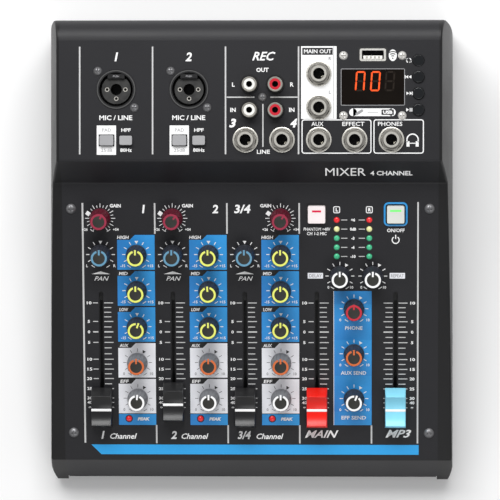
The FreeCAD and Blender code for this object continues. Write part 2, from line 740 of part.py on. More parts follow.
def combo_jack():
    low = -deck_board_gap
    under = -cover_sheet - seam_gap
    shell = rounded_block(combo_flange, combo_flange, under - combo_flange_thick, under, 2.0)
    shell = shell.fuse([rod(combo_body_radius, low, under - 0.5), rod(combo_nose, under - 1, combo_rim)])
    groove_floor = combo_rim - combo_groove_depth
    shell = shell.cut(rod(combo_groove[1], groove_floor, combo_rim + 1))
    shell = shell.cut(rod(combo_insert + insert_clearance, low + jack_floor, combo_rim))
    corners = (-combo_screw_offset, combo_screw_offset)
    shell = shell.cut([rod(screw_radius + push_clearance, low, 1, offset, -offset) for offset in corners])
    latch_y = combo_flat + latch_gap + latch_size[1] / 2
    latch = block(*latch_size, groove_floor, combo_rim - 0.3, 0, latch_y)
    latch = latch.common(rod(combo_groove[1] - push_clearance, groove_floor, combo_rim))
    insert = rod(combo_insert, low + jack_floor, -combo_face)
    beyond_flat = combo_flat + combo_insert / 2
    insert = insert.cut(block(3 * combo_insert, combo_insert, groove_floor - latch_gap, 1, 0, beyond_flat))
    insert = insert.cut(rod(jack_bore, low + 5.0, 1))
    spots = [(contact_circle, 0), (-contact_circle, 0), (0, -contact_circle)]
    contacts = [rod(contact_hole, -combo_face - contact_depth, 1, x, y) for x, y in spots]
    return [shell.removeSplitter(), insert.cut(contacts), latch]


def pin_jack_block():
    width = pin_jack_x[1] - pin_jack_x[0] + 2 * pin_block_margin
    length = pin_jack_d[1] - pin_jack_d[0] + 2 * pin_block_margin
    under = -cover_sheet - seam_gap
    housing = placed(block(width, length, under - pin_block_depth, under), pin_centre)
    housing = housing.fuse([placed(rod(pin_collar, under - 1, pin_collar_top), f) for f in pin_frames])
    leg = block(width / 2, length / 2, -deck_board_gap, under - pin_block_depth + 1)
    housing = housing.fuse(placed(leg, pin_centre))
    seat_floor = under - pin_block_depth + 3
    seat = rod(pin_shell + pin_shell_shoulder, seat_floor, pin_collar_top + 1)
    housing = housing.cut([placed(seat, f) for f in pin_frames])
    housing = housing.cut(placed(rod(screw_radius + push_clearance, -deck_board_gap - 1, 0), pin_centre))
    pieces = [housing]
    for frame in pin_frames:
        shell = tube(pin_shell, pin_shell - pin_shell_wall, seat_floor, pin_shell_top)
        shoulder = tube(pin_shell + pin_shell_shoulder, pin_shell, seat_floor, pin_collar_top)
        shell = shell.fuse(shoulder).removeSplitter()
        core = tube(pin_shell - pin_shell_wall, pin_plug_hole, seat_floor, pin_shell_top - 0.4)
        pieces += [placed(shell, frame), placed(core, frame)]
    return Part.makeCompound(pieces)


def usb_port():
    low = -usb_depth
    shell = rounded_block(*usb_shell, low, usb_rise, 0.5)
    lips = rounded_block(*usb_lips, -usb_wall, usb_rise, usb_lip_corner)
    inside = rounded_block(usb_shell[0] - 2 * usb_wall, usb_shell[1] - 2 * usb_wall, low + usb_wall, 1, 0.4)
    shell = shell.fuse(lips).cut(inside).removeSplitter()
    tongue = block(*usb_tongue, low + usb_wall, -0.6, 0, -usb_shell[1] / 2 + usb_wall + 1.1)
    return Part.makeCompound([placed(s, on_deck(player_x, usb_d)) for s in (shell, tongue)])


def display():
    board_x = player_board_right - player_board[0] / 2
    board = block(*player_board, -player_board_gap - board_sheet, -player_board_gap)
    usb_room = block(usb_shell[0] + 1, usb_shell[1] + 1, -20, 0, player_x - board_x, usb_d - player_screw_d)
    board = board.cut(usb_room)
    spots = [
        (player_x - board_x + i * player_screw_spacing[0] / 2, j * player_screw_spacing[1] / 2)
        for i in (-1, 1)
        for j in (-1, 1)
    ]
    under = -cover_sheet - seam_gap
    board = board.fuse([rod(post_radius, -player_board_gap - 0.5, under, x, y) for x, y in spots])
    board = board.cut([rod(screw_radius + push_clearance, -20, 0, x, y) for x, y in spots])
    board = placed(board.removeSplitter(), on_deck(board_x, player_screw_d))
    window = rounded_block(*window_size, -player_board_gap, window_top, window_corner)
    return Part.makeCompound([board, placed(window, on_deck(player_x, display_d))])


def power_socket():
    """Barrel inlet, local z out of the back wall; its nose stops just inside the wall's face."""
    body = block(inlet_body, inlet_body, -cover_sheet - inlet_body_depth, -cover_sheet - seam_gap)
    body = body.fuse(rod(inlet_nose, -cover_sheet - 1, -inlet_sunk))
    body = body.cut(rod(inlet_hole, -inlet_sunk - inlet_depth, 1)).removeSplitter()
    pin = rod(inlet_pin, -inlet_sunk - inlet_depth, -inlet_sunk - 1)
    return placed(body.fuse(pin).removeSplitter(), inlet_frame)


# --- lamps, boards and screws


def lamp():
    dome = Part.makeSphere(lamp_radius, Vector(0, 0, lamp_top - lamp_radius))
    return rod(lamp_radius, -board_gap, lamp_top - lamp_radius).fuse(dome).removeSplitter()


def main_board():
    width = 2 * (post_x[-1] + board_beyond)
    length = panel_length - 2 * board_margin
    sheet = block(width, length, -board_gap - board_sheet, -board_gap)
    sheet = placed(sheet, on_panel(0, panel_length / 2))
    hole = rod(screw_radius + screw_clearance, -board_gap - through, -board_gap + 1)
    return sheet.cut([placed(hole, frame) for frame in post_frames])


def connector_boards():
    """The left board carries the combination jacks; the right one has a wing under the send jacks."""
    low, high = -deck_board_gap - board_sheet, -deck_board_gap
    near, far = board_d
    start, split, middle, end = board_x
    left = Part.makeBox(split - start, far - near, board_sheet, Vector(start, near, low))
    centre = Part.makeBox(middle - split - 1, far - near, board_sheet, Vector(split + 1, near, low))
    wing = Part.makeBox(end - middle + 1, wing_length, board_sheet, Vector(middle - 1, near, low))
    boards = [left, centre.fuse(wing).removeSplitter()]
    boards = [placed(board, on_deck(0, 0)) for board in boards]
    hole = rod(screw_radius + screw_clearance, low - 1, high + 1)
    holes = [placed(hole, frame) for frame in deck_post_frames + combo_screw_frames + [pin_centre]]
    return Part.makeCompound([board.cut(holes) for board in boards])


def screws():
    panel = pan_screw(screw_head, screw_length)
    small = pan_screw(small_screw_head, small_screw_length)
    shapes = [placed(panel, frame) for frame in panel_screw_frames]
    shapes += [placed(small, frame) for frame in combo_screw_frames + player_screw_frames + [pin_centre]]
    upwards = Rotation(Vector(1, 0, 0), 180)
    board_under = Placement(Vector(0, 0, -board_gap - board_sheet), upwards)
    shapes += [placed(small, frame.multiply(board_under)) for frame in post_frames]
    deck_under = Placement(Vector(0, 0, -deck_board_gap - board_sheet), upwards)
    shapes += [placed(small, frame.multiply(deck_under)) for frame in deck_post_frames]
    shapes += [placed(panel, Placement(Vector(x, y, foot_height), upwards)) for x, y in base_screws]
    foot_screw = pan_screw(screw_head, foot_height - foot_screw_recess)
    seat = foot_screw_recess + screw_head_height
    shapes += [placed(foot_screw, Placement(Vector(x, y, seat), upwards)) for x, y in feet]
    return Part.makeCompound(shapes)


# --- every node

nodes = {
    "top_cover": top_cover(),
    "right_cheek": right_cheek(),
    "base_plate": base_plate(),
    "rubber_feet": rubber_feet(),
    "screws": screws(),
    "main_board": main_board(),
    "connector_boards": connector_boards(),
    "rca_jacks": pin_jack_block(),
    "usb_socket": usb_port(),
    "display_module": display(),
    "power_inlet": power_socket(),
}
nodes["left_cheek"] = nodes["right_cheek"].mirror(Vector(), Vector(1, 0, 0))
nodes["pot_bodies"] = Part.makeCompound([placed(pot_shape(), on_panel(x, s)) for x, s in knobs.values()])
track = fader_track()
nodes["fader_bodies"] = Part.makeCompound(
    [placed(track, on_panel(x, fader_start + fader_travel / 2)) for x in fader_x.values()]
)
square_switch = switch_shape(switch_width, -board_gap, switch_top)
small_switch = switch_shape(small_switch_width, -deck_board_gap, switch_top)
switches = [placed(square_switch, frame) for frame in square_buttons.values()]
switches += [placed(small_switch, frame) for frame, _ in small_buttons.values()]
switches += [placed(round_switch(), frame) for frame, _ in round_buttons.values()]
nodes["switch_bodies"] = Part.makeCompound(switches)
nodes["combo_jacks"] = Part.makeCompound([placed(s, frame) for frame in combo_frames for s in combo_jack()])
nodes["phone_jacks"] = Part.makeCompound([placed(phone_jack(), frame) for frame in jack_frames])
nodes["jack_nuts"] = Part.makeCompound([placed(s, frame) for frame in jack_frames for s in jack_fixings()])
nodes["leds"] = Part.makeCompound([placed(lamp(), frame) for frame in lamp_frames])

knob = knob_shape()
for name, frame in knob_frames.items():
    nodes[name] = placed(knob, frame)
cap_and_stem = Part.makeCompound([saddle_cap(), fader_stem()])
for name, x in fader_x.items():
    nodes[name] = placed(cap_and_stem, on_panel(x, fader_start + fader_rest[name]))
for name, frame in square_buttons.items():
    nodes[name] = placed(button_shape(square_cap, square_cap, square_cap_top), frame)
for name, (frame, size) in small_buttons.items():
    nodes[name] = placed(button_shape(*size, small_cap_top), frame)
for name, (frame, top) in round_buttons.items():
    nodes[name] = placed(round_button(top), frame)

os.makedirs("parts", exist_ok=True)
for name, shape in nodes.items():
    shape.exportStep(f"parts/{name}.step")
    bad = "" if shape.isValid() else "  NOT VALID"
    print(f"{name}: {len(shape.Solids)} solids, {shape.Volume:.0f} mm3{bad}")
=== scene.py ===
import bpy
import bmesh
import json
import math
from mathutils import Matrix, Vector


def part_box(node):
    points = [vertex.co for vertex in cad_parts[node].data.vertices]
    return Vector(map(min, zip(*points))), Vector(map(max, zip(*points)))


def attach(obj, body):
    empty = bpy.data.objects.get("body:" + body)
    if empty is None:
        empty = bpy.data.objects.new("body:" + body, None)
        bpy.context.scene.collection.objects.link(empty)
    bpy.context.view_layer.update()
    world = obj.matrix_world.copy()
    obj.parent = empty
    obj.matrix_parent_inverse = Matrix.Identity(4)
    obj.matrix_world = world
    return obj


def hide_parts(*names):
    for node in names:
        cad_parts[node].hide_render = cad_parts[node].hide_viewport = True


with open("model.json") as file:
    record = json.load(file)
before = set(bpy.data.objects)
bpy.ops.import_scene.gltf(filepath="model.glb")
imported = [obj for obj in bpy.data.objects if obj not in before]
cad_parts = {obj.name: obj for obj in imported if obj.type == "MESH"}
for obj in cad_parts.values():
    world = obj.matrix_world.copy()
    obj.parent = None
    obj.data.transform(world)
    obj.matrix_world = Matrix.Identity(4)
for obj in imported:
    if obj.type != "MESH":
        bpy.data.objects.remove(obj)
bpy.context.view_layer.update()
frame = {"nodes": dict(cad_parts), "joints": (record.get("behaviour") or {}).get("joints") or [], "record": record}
joints = {joint["child"]: joint for joint in frame["joints"]}
mounts = {mount["name"]: Vector(mount["pos_m"]) for mount in frame["record"]["mounts"]}
mm = 0.001
fixed = "console"  # the body that everything still rides on


# small tools

def deselectAll():
    if bpy.context.object and bpy.context.object.mode != "OBJECT":
        bpy.ops.object.mode_set(mode="OBJECT")
    bpy.ops.object.select_all(action="DESELECT")


def only(*pieces):  # selects these pieces, the first one active
    deselectAll()
    for piece in pieces:
        piece.select_set(True)
    bpy.context.view_layer.objects.active = pieces[0]


def editOn():
    bpy.ops.object.mode_set(mode="EDIT")


def editOff():
    bpy.ops.object.mode_set(mode="OBJECT")


def pickFaces(test):  # selects the faces whose middle and normal pass the test
    bpy.ops.mesh.select_all(action="DESELECT")
    bpy.ops.mesh.select_mode(type="FACE")
    mesh = bmesh.from_edit_mesh(bpy.context.object.data)
    for face in mesh.faces:
        face.select_set(bool(test(face.calc_center_median(), face.normal)))
    bmesh.update_edit_mesh(bpy.context.object.data)


def applied(piece, kind, **settings):  # adds a modifier and applies it
    only(piece)
    modifier = piece.modifiers.new(kind.title(), kind)
    for key, value in settings.items():
        setattr(modifier, key, value)
    bpy.ops.object.modifier_apply(modifier=modifier.name)
    return piece


def softEdges(piece, width, segments=2, angle=35):
    applied(piece, "BEVEL", width=width, segments=segments, limit_method="ANGLE", angle_limit=math.radians(angle))
    only(piece)
    bpy.ops.object.shade_smooth_by_angle(angle=math.radians(40))
    return piece


def settle(piece, name, place, body, finish):  # sets a finished piece down in its place
    only(piece)
    piece.matrix_world = place @ piece.matrix_world
    bpy.ops.object.transform_apply(location=True, rotation=True, scale=True)
    piece.name = name
    piece.data.name = name
    piece.data.materials.clear()
    piece.data.materials.append(finish)
    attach(piece, body)
    return piece


def copyOf(source):
    only(source)
    bpy.ops.object.duplicate(linked=False)
    return bpy.context.object


def joined(*pieces):
    only(*pieces)
    bpy.ops.object.join()
    return bpy.context.object


def emptyPiece():  # an empty mesh, left in edit mode
    deselectAll()
    bpy.ops.mesh.primitive_plane_add(size=1)
    editOn()
    bpy.ops.mesh.select_mode(type="VERT")
    bpy.ops.mesh.select_all(action="SELECT")
    bpy.ops.mesh.delete(type="VERT")
    return bpy.context.object


def faceOutwards(piece):
    only(piece)
    editOn()
    bpy.ops.mesh.select_all(action="SELECT")
    bpy.ops.mesh.normals_make_consistent(inside=False)
    editOff()


def drop(*masters):  # the originals go once their copies are placed
    for master in masters:
        bpy.data.objects.remove(master)


def clockwise(x, y, radius, angle):  # a point round a dial, the angle in degrees from its top
    turn = math.radians(angle)
    return x + radius * math.sin(turn), y + radius * math.cos(turn)


# the faces of the case

caseRuns = {
    "panel": 160.4 * mm,  # sloping control panel, measured level
    "step": 12.2 * mm,  # short slope up to the deck
    "deck": 80.6 * mm,  # level connector deck
}
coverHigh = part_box("top_cover")[1]
dialAt, dialAxis = [Vector(joints["effect_knob_1"][key]) for key in ("pos_m", "axis")]
panelTilt = math.atan2(dialAxis.y, -dialAxis.z)
deckY = coverHigh.y - caseRuns["deck"]
stepY = deckY - caseRuns["step"]
foldY = stepY - caseRuns["panel"]
foldZ = dialAt.z - (dialAt.y - foldY) * math.tan(panelTilt)
stepZ = foldZ + caseRuns["panel"] * math.tan(panelTilt)
stepTilt = math.atan2(coverHigh.z - stepZ, deckY - stepY)
panelPlace = Matrix.Translation((0, foldY, foldZ)) @ Matrix.Rotation(panelTilt, 4, "X")
stepPlace = Matrix.Translation((0, stepY, stepZ)) @ Matrix.Rotation(stepTilt, 4, "X")
deckPlace = Matrix.Translation((0, deckY, coverHigh.z))


def spotOn(place, point):  # how far across and up a face a point stands, in millimetres
    local = place.inverted() @ Vector(point)
    return local.x / mm, local.y / mm


dials = [name for name, joint in joints.items() if joint["type"] == "hinge"]
dialSpots = {name: spotOn(panelPlace, joints[name]["pos_m"]) for name in dials}
faders = ("fader_1", "fader_2", "fader_3", "main_fader", "player_fader")
playerButtons = ("mode_button", "previous_button", "next_button", "play_button")
plugSpots = {name: spotOn(deckPlace, point) for name, point in mounts.items()}


def boxSpot(node, place):
    low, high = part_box(node)
    return spotOn(place, (low + high) / 2)


def faderSpot(name):  # the stem at the low end of its travel
    low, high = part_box(name)
    foot = (low.y - foldY + 1.0 * mm * math.sin(panelTilt)) / math.cos(panelTilt) + 11.9 * mm
    return (low.x + high.x) / 2 / mm, (foot + joints[name]["range_m"][0]) / mm


# shader tools

class Wire:  # one socket of a shader, for writing maths on it
    def __init__(self, shader, socket):
        self.shader, self.socket = shader, socket

    def sum(self, operation, first, second):
        return self.shader.add("ShaderNodeMath", {"operation": operation}, {0: first, 1: second})

    def __add__(self, other):
        return self.sum("ADD", self, other)

    def __radd__(self, other):
        return self.sum("ADD", other, self)

    def __sub__(self, other):
        return self.sum("SUBTRACT", self, other)

    def __rsub__(self, other):
        return self.sum("SUBTRACT", other, self)

    def __mul__(self, other):
        return self.sum("MULTIPLY", self, other)

    def __rmul__(self, other):
        return self.sum("MULTIPLY", other, self)

    def __pow__(self, other):
        return self.sum("POWER", self, other)

    def __gt__(self, other):
        return self.sum("GREATER_THAN", self, other)

    def __lt__(self, other):
        return self.sum("LESS_THAN", self, other)

    def __abs__(self):
        return self.sum("ABSOLUTE", self, 0.0)

    def fraction(self):
        return self.sum("FRACT", self, 0.0)


class Shader:
    def __init__(self, name, **constants):
        self.material = bpy.data.materials.new(name)
        self.material.use_nodes = True
        self.tree = self.material.node_tree
        self.surface = self.tree.nodes["Principled BSDF"]
        for key, value in constants.items():
            self.surface.inputs[key.replace("_", " ")].default_value = value
        self.spot = self.add("ShaderNodeTexCoord", out="Object")

    def add(self, kind, settings=None, values=None, out=0):
        node = self.tree.nodes.new(kind)
        for key, value in (settings or {}).items():
            if key == "stops":
                node.color_ramp.elements[0].position, node.color_ramp.elements[0].color = value[0]
                node.color_ramp.elements[1].position, node.color_ramp.elements[1].color = value[-1]
                for position, colour in value[1:-1]:
                    node.color_ramp.elements.new(position).color = colour
            else:
                setattr(node, key, value)
        for key, value in (values or {}).items():
            self.feed(node.inputs[key], value)
        return Wire(self, node.outputs[out])

    def feed(self, socket, value):
        if isinstance(value, Wire):
            self.tree.links.new(value.socket, socket)
        else:
            socket.default_value = value

    def set(self, **links):
        for key, value in links.items():
            self.feed(self.surface.inputs[key.replace("_", " ")], value)

    def noise(self, scale, detail=3.0, rough=0.5, at=None):
        values = {"Vector": at or self.spot, "Scale": scale, "Detail": detail, "Roughness": rough}
        return self.add("ShaderNodeTexNoise", None, values)

    def mix(self, factor, first, second):
        return self.add("ShaderNodeMix", {"data_type": "RGBA"}, {0: factor, 6: first, 7: second}, out=2)

    def axes(self):
        return [self.add("ShaderNodeSeparateXYZ", None, {0: self.spot}, out=i) for i in range(3)]

    def bump(self, height, distance, strength=1.0):
        values = {"Height": height, "Distance": distance, "Strength": strength}
        self.set(Normal=self.add("ShaderNodeBump", None, values))


def awayFrom(across, along):  # distance from a line, given the two offsets from it
    return (across * across + along * along) ** 0.5


def tone(red, green, blue):  # a screen colour made linear
    parts = [c / 255 for c in (red, green, blue)]
    return (*[c / 12.92 if c <= 0.04045 else ((c + 0.055) / 1.055) ** 2.4 for c in parts], 1.0)


def darker(colour, amount):
    return (*[c * amount for c in colour[:3]], 1.0)


# finishes

def powderCoat(name, colour, grain=0.05 * mm):  # baked coat on steel: fine orange peel and a few dull patches
    shader = Shader(name, Specular_IOR_Level=0.3)
    speckle = shader.noise(2600.0, 2.0)
    patches = shader.noise(14.0, 4.0, 0.6)
    shader.set(Base_Color=shader.mix(speckle * 0.5 + patches * 0.35, darker(colour, 0.82), darker(colour, 1.2)))
    shader.set(Roughness=0.40 + 0.10 * patches + 0.06 * speckle)
    shader.bump(speckle, grain)
    return shader.material


def mouldedPlastic(name, colour, rough=0.45, grain=0.02 * mm, scale=1800.0, spread=0.12, shine=0.4):
    shader = Shader(name, Specular_IOR_Level=shine)
    fine = shader.noise(scale, 2.0)
    broad = shader.noise(60.0, 3.0)
    shader.set(Base_Color=shader.mix(broad, darker(colour, 1 - spread), darker(colour, 1 + spread)))
    shader.set(Roughness=rough - 0.05 + 0.10 * broad)
    shader.bump(fine, grain)
    return shader.material


blueTile = {"left": -96.3 * mm, "pitch": 41.5 * mm, "rise": 20.8 * mm}  # how the shaded tiles repeat


def printedInk(name, colour, second=None, rough=0.42):  # screen print, a little uneven, or fading to a second colour
    shader = Shader(name)
    cloud = shader.noise(900.0, 3.0)
    if second:
        across, along, _ = shader.axes()
        wave = ((across - blueTile["left"]) * (1 / blueTile["pitch"])).fraction()
        rise = ((along + 0.3) * (1 / blueTile["rise"])).fraction()
        fade = shader.noise(38.0, 1.0) * 0.5 + wave * 0.5 + rise * 0.15
        ramp = {"stops": [(0.25, second), (0.95, colour)]}
        body = shader.add("ShaderNodeValToRGB", ramp, {0: fade})
        shader.set(Base_Color=shader.mix(cloud * 0.2, body, darker(second, 0.8)))
    else:
        shader.set(Base_Color=shader.mix(cloud, darker(colour, 0.93), darker(colour, 1.03)))
    shader.set(Roughness=rough + 0.1 * cloud)
    shader.bump(cloud, 0.01 * mm)
    return shader.material


def brightMetal(name, colour, rough=0.2, metallic=1.0):  # plated or turned metal, smeared a little
    shader = Shader(name)
    smear = shader.noise(700.0, 4.0, 0.6)
    broad = shader.noise(120.0, 2.0)
    shader.set(Base_Color=shader.mix(broad, darker(colour, 0.86), darker(colour, 1.05)))
    shader.set(Metallic=metallic, Roughness=rough + 0.14 * smear)
    shader.bump(smear, 0.006 * mm)
    return shader.material


def lampLens(name, colour, glow=0.6):
    shader = Shader(name, Coat_Weight=0.5, Coat_Roughness=0.08)
    cloud = shader.noise(900.0, 2.0)
    shader.set(Base_Color=shader.mix(cloud, darker(colour, 0.8), colour))
    shader.set(Emission_Color=shader.mix(cloud, darker(colour, 0.7), colour), Roughness=0.22 + 0.08 * cloud)
    shader.surface.inputs["Emission Strength"].default_value = glow
    return shader.material


colours = {
    "cover": tone(32, 32, 35),
    "cheek": tone(26, 26, 27),
    "white": tone(240, 240, 240),
    "line": tone(196, 196, 196),
    "blue": tone(44, 158, 226),
    "deepBlue": tone(30, 108, 188),
    "stripe": tone(34, 160, 228),
    "pale": tone(244, 244, 248),
    "paleShade": tone(222, 224, 230),
    "black": tone(26, 26, 27),
    "grey": tone(150, 150, 152),
    "red": tone(236, 30, 18),
    "skyBlue": tone(140, 220, 245),
    "crimson": tone(150, 44, 68),
    "paleBlue": tone(98, 148, 176),
    "lime": tone(228, 233, 112),
    "orange": tone(206, 104, 52),
    "rose": tone(190, 40, 56),
}

finishes = {
    "cover": powderCoat("coverCoat", colours["cover"]),
    "cheek": mouldedPlastic("cheekPlastic", colours["cheek"], 0.42, 0.04 * mm, 2200.0, shine=0.25),
    "base": powderCoat("baseCoat", tone(38, 38, 38)),
    "rubber": mouldedPlastic("footRubber", tone(30, 30, 30), 0.75, 0.05 * mm, 900.0),
    "board": mouldedPlastic("boardMask", tone(30, 92, 60), 0.35, 0.01 * mm),
    "steel": brightMetal("plainSteel", tone(190, 190, 192), 0.3),
    "nickel": brightMetal("bushNickel", tone(234, 231, 222), 0.2, 0.55),
    "nutMetal": brightMetal("nutPlating", tone(176, 173, 166), 0.24, 0.8),
    # dark ring between washer and nut: painted shadow, darker than the plating
    "lockRing": brightMetal("lockRingSteel", tone(58, 56, 52), 0.4, 0.6),
    "blackPlastic": mouldedPlastic("switchPlastic", tone(30, 30, 31), 0.4),
    "whiteInk": printedInk("whiteInk", colours["white"]),
    # white print on the step that glows: painted light on the lettering, not a lamp
    "stepInk": lampLens("stepInk", colours["white"], 0.35),
    "lineInk": printedInk("lineInk", colours["line"]),
    "greyInk": printedInk("greyInk", colours["grey"]),
    "blackInk": printedInk("blackInk", colours["black"]),
    "blueInk": printedInk("blueInk", colours["blue"], colours["deepBlue"]),
    "stripeInk": printedInk("stripeInk", colours["stripe"]),
    "paleInk": printedInk("paleInk", colours["pale"], colours["paleShade"]),
    "knobDark": mouldedPlastic("knobDark", tone(44, 46, 54), 0.34),
    "knobGrey": mouldedPlastic("knobGrey", tone(112, 114, 118), 0.34),
    "knobCrimson": mouldedPlastic("knobCrimson", tone(88, 18, 36), 0.34),
    "crownBlack": mouldedPlastic("crownBlack", tone(42, 42, 38), 0.5),
    "capBlack": mouldedPlastic("capBlack", tone(34, 34, 35), 0.3, 0.015 * mm),
    "capRed": mouldedPlastic("capRed", colours["red"], 0.32, 0.015 * mm),
    "capBlue": mouldedPlastic("capBlue", colours["skyBlue"], 0.32, 0.015 * mm),
    "capLine": mouldedPlastic("capLine", tone(248, 248, 248), 0.4),
    "buttonGrey": mouldedPlastic("buttonGrey", tone(158, 158, 160), 0.42),
    "buttonWhite": mouldedPlastic("buttonWhite", tone(242, 232, 232), 0.38),
    "buttonPale": mouldedPlastic("buttonPale", tone(214, 216, 210), 0.38),
    "buttonBlack": mouldedPlastic("buttonBlack", tone(24, 26, 28), 0.14, 0.01 * mm, shine=0.8),
    "barRed": lampLens("barRed", tone(216, 30, 70), 0.2),
    "barGreen": lampLens("barGreen", tone(110, 220, 110), 0.7),
    "bezelBlue": lampLens("bezelBlue", tone(48, 148, 214), 0.12),
    "lampRed": lampLens("lampRed", tone(226, 34, 40), 0.35),
    "lampYellow": lampLens("lampYellow", tone(226, 226, 160), 0.25),
    "lampGreen": lampLens("lampGreen", tone(60, 178, 130), 0.25),
    "digitLit": lampLens("digitLit", tone(226, 84, 34), 0.6),
    "digitOut": lampLens("digitOut", tone(34, 26, 18), 0.02),
}
for ring in ("crimson", "paleBlue", "lime", "orange", "rose"):
    finishes[ring] = mouldedPlastic(ring + "Ring", colours[ring], 0.4, 0.01 * mm, spread=0.06)
finishes["white"] = mouldedPlastic("whiteRing", tone(245, 245, 245), 0.4, 0.01 * mm, spread=0.04)


def screwFinish():  # blackened everywhere but on the player, where the screws are bright
    shader = Shader("screwPlating")
    across, along, _ = shader.axes()
    bright = (across > 0.045) * (along > 0.07)
    smear = shader.noise(900.0, 4.0, 0.6)
    shader.set(Base_Color=shader.mix(bright, tone(132, 132, 134), tone(236, 234, 230)))
    shader.set(Metallic=0.8 - 0.2 * bright, Roughness=0.34 - 0.14 * bright + 0.14 * smear)
    shader.bump(smear, 0.01 * mm)
    return shader.material


def comboFinish():  # black shell and latch, dark grey insert
    shader = Shader("comboPlastic")
    across, along, up = shader.axes()
    first, second = mounts["combo_jack_1"], mounts["combo_jack_2"]
    middle, half = (first.x + second.x) / 2, abs(second.x - first.x) / 2
    radius = awayFrom(abs(across - middle) - half, along - first.y)
    insert = (radius < 8.28 * mm) * (up < deckPlace.translation.z - 1.2 * mm)
    cloud = shader.noise(240.0, 4.0, 0.6)
    face = shader.mix(cloud, tone(30, 30, 30), tone(64, 64, 63))
    shader.set(Base_Color=shader.mix(insert, tone(22, 22, 23), face), Roughness=0.26 + 0.22 * cloud)
    shader.bump(shader.noise(1800.0, 2.0), 0.02 * mm)
    return shader.material


def pinJackFinish():  # black housing, bright shells, white or red middles
    shader = Shader("pinJackParts")
    across, along, up = shader.axes()
    spots = [mounts[name] for name in ("in_left_pin_jack", "out_right_pin_jack")]
    middle = (spots[0] + spots[1]) / 2
    half = (spots[1] - spots[0]) / 2
    radius = awayFrom(abs(across - middle.x) - half.x, abs(along - middle.y) - half.y)
    shell = radius < 4.2 * mm
    core = (radius < 3.2 * mm) * (radius > 1.75 * mm) * (up > deckPlace.translation.z)
    cloud = shader.noise(500.0, 3.0)
    plastic = shader.mix(across > middle.x, tone(236, 236, 232), tone(196, 24, 44))
    metal = shell * (radius > 1.75 * mm)
    colour = shader.mix(core, shader.mix(metal, tone(14, 14, 14), tone(226, 222, 212)), plastic)
    shader.set(Base_Color=shader.mix(cloud * 0.15, colour, tone(90, 90, 90)))
    shader.set(Metallic=metal * (1 - core) * 0.85, Roughness=0.24 + 0.12 * cloud)
    shader.bump(cloud, 0.01 * mm)
    return shader.material


def jackFinish():  # nickelled nose, black body under the deck
    shader = Shader("jackParts")
    _, _, up = shader.axes()
    nose = up > deckPlace.translation.z - 1.25 * mm
    smear = shader.noise(700.0, 4.0, 0.6)
    colour = shader.mix(nose, tone(24, 24, 24), tone(232, 229, 220))
    shader.set(Base_Color=colour, Metallic=0.6 * nose, Roughness=0.17 + 0.16 * smear)
    shader.bump(smear, 0.006 * mm)
    return shader.material


def socketFinish():  # stick socket: plated shell, white tongue; the inside of the shell painted near black as painted shade
    shader = Shader("stickSocketParts")
    across, along, up = shader.axes()
    low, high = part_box("usb_socket")
    middle = (low + high) / 2
    inside = (abs(across - middle.x) < 5.45 * mm) * (abs(along - middle.y + 1.4 * mm) < 1.0 * mm)
    tongue = inside * (up < high.z - 0.3 * mm)
    # inside of the shell painted near black: painted shade of the recess
    cavityShade = (abs(across - middle.x) < 6.3 * mm) * (abs(along - middle.y) < 2.5 * mm) * (up < high.z - 0.25 * mm)
    smear = shader.noise(700.0, 4.0, 0.6)
    shell = shader.mix(cavityShade, tone(238, 236, 230), tone(14, 14, 14))
    shader.set(Base_Color=shader.mix(tongue, shell, tone(244, 242, 236)))
    shader.set(Metallic=0.5 * (1 - tongue) * (1 - cavityShade), Roughness=0.2 + 0.15 * smear)
    shader.bump(smear, 0.006 * mm)
    return shader.material


def windowFinish():  # smooth dark window over the digits
    shader = Shader("windowPlastic", Specular_IOR_Level=0.3)
    cloud = shader.noise(55.0, 2.0)
    shader.set(Base_Color=shader.mix(cloud, tone(12, 8, 7), tone(22, 17, 12)), Roughness=0.12 + 0.1 * cloud)
    shader.bump(shader.noise(300.0, 2.0), 0.004 * mm)
    return shader.material


def inletFinish():
    shader = Shader("inletParts")
    across, _, up = shader.axes()
    low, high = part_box("power_inlet")
    middle = (low + high) / 2
    pin = awayFrom(across - middle.x, up - middle.z) < 1.2 * mm
    smear = shader.noise(700.0, 3.0)
    shader.set(Base_Color=shader.mix(pin, tone(26, 26, 27), tone(214, 208, 190)), Metallic=pin)
    shader.set(Roughness=0.3 + 0.15 * smear)
    shader.bump(smear, 0.01 * mm)
    return shader.material


finishes["screw"] = screwFinish()
carried = {  # CAD nodes that stay as they are, with their finish
    "top_cover": "cover",
    "left_cheek": "cheek",
    "right_cheek": "cheek",
    "base_plate": "base",
    "rubber_feet": "rubber",
    "screws": "screw",
    "main_board": "board",
    "connector_boards": "board",
    "pot_bodies": "steel",
    "fader_bodies": "blackPlastic",
    "switch_bodies": "blackPlastic",
    "jack_nuts": "nickel",
    "phantom_button": "buttonWhite",
    "power_button": "buttonPale",
}
for name in joints:
    if name.startswith(("pad", "lowcut")):
        carried[name] = "buttonGrey"
    elif name in playerButtons:
        carried[name] = "buttonBlack"
finishes.update(combo=comboFinish(), pinJack=pinJackFinish(), jack=jackFinish(), stick=socketFinish())
finishes.update(window=windowFinish(), inlet=inletFinish())
carried.update(combo_jacks="combo", rca_jacks="pinJack", phone_jacks="jack", usb_socket="stick")
carried.update(display_module="window", power_inlet="inlet")
for name, finish in carried.items():
    node = frame["nodes"][name]
    node.data.materials.clear()
    node.data.materials.append(finishes[finish])
print("finishes made:", len(finishes), "on", len(carried), "carried nodes")


# printing: flat marks and words in one ink, laid out level in millimetres, then set down on a face

inkThick = 0.04 * mm
capitalShare = 0.682  # height of a capital letter over the size of the font


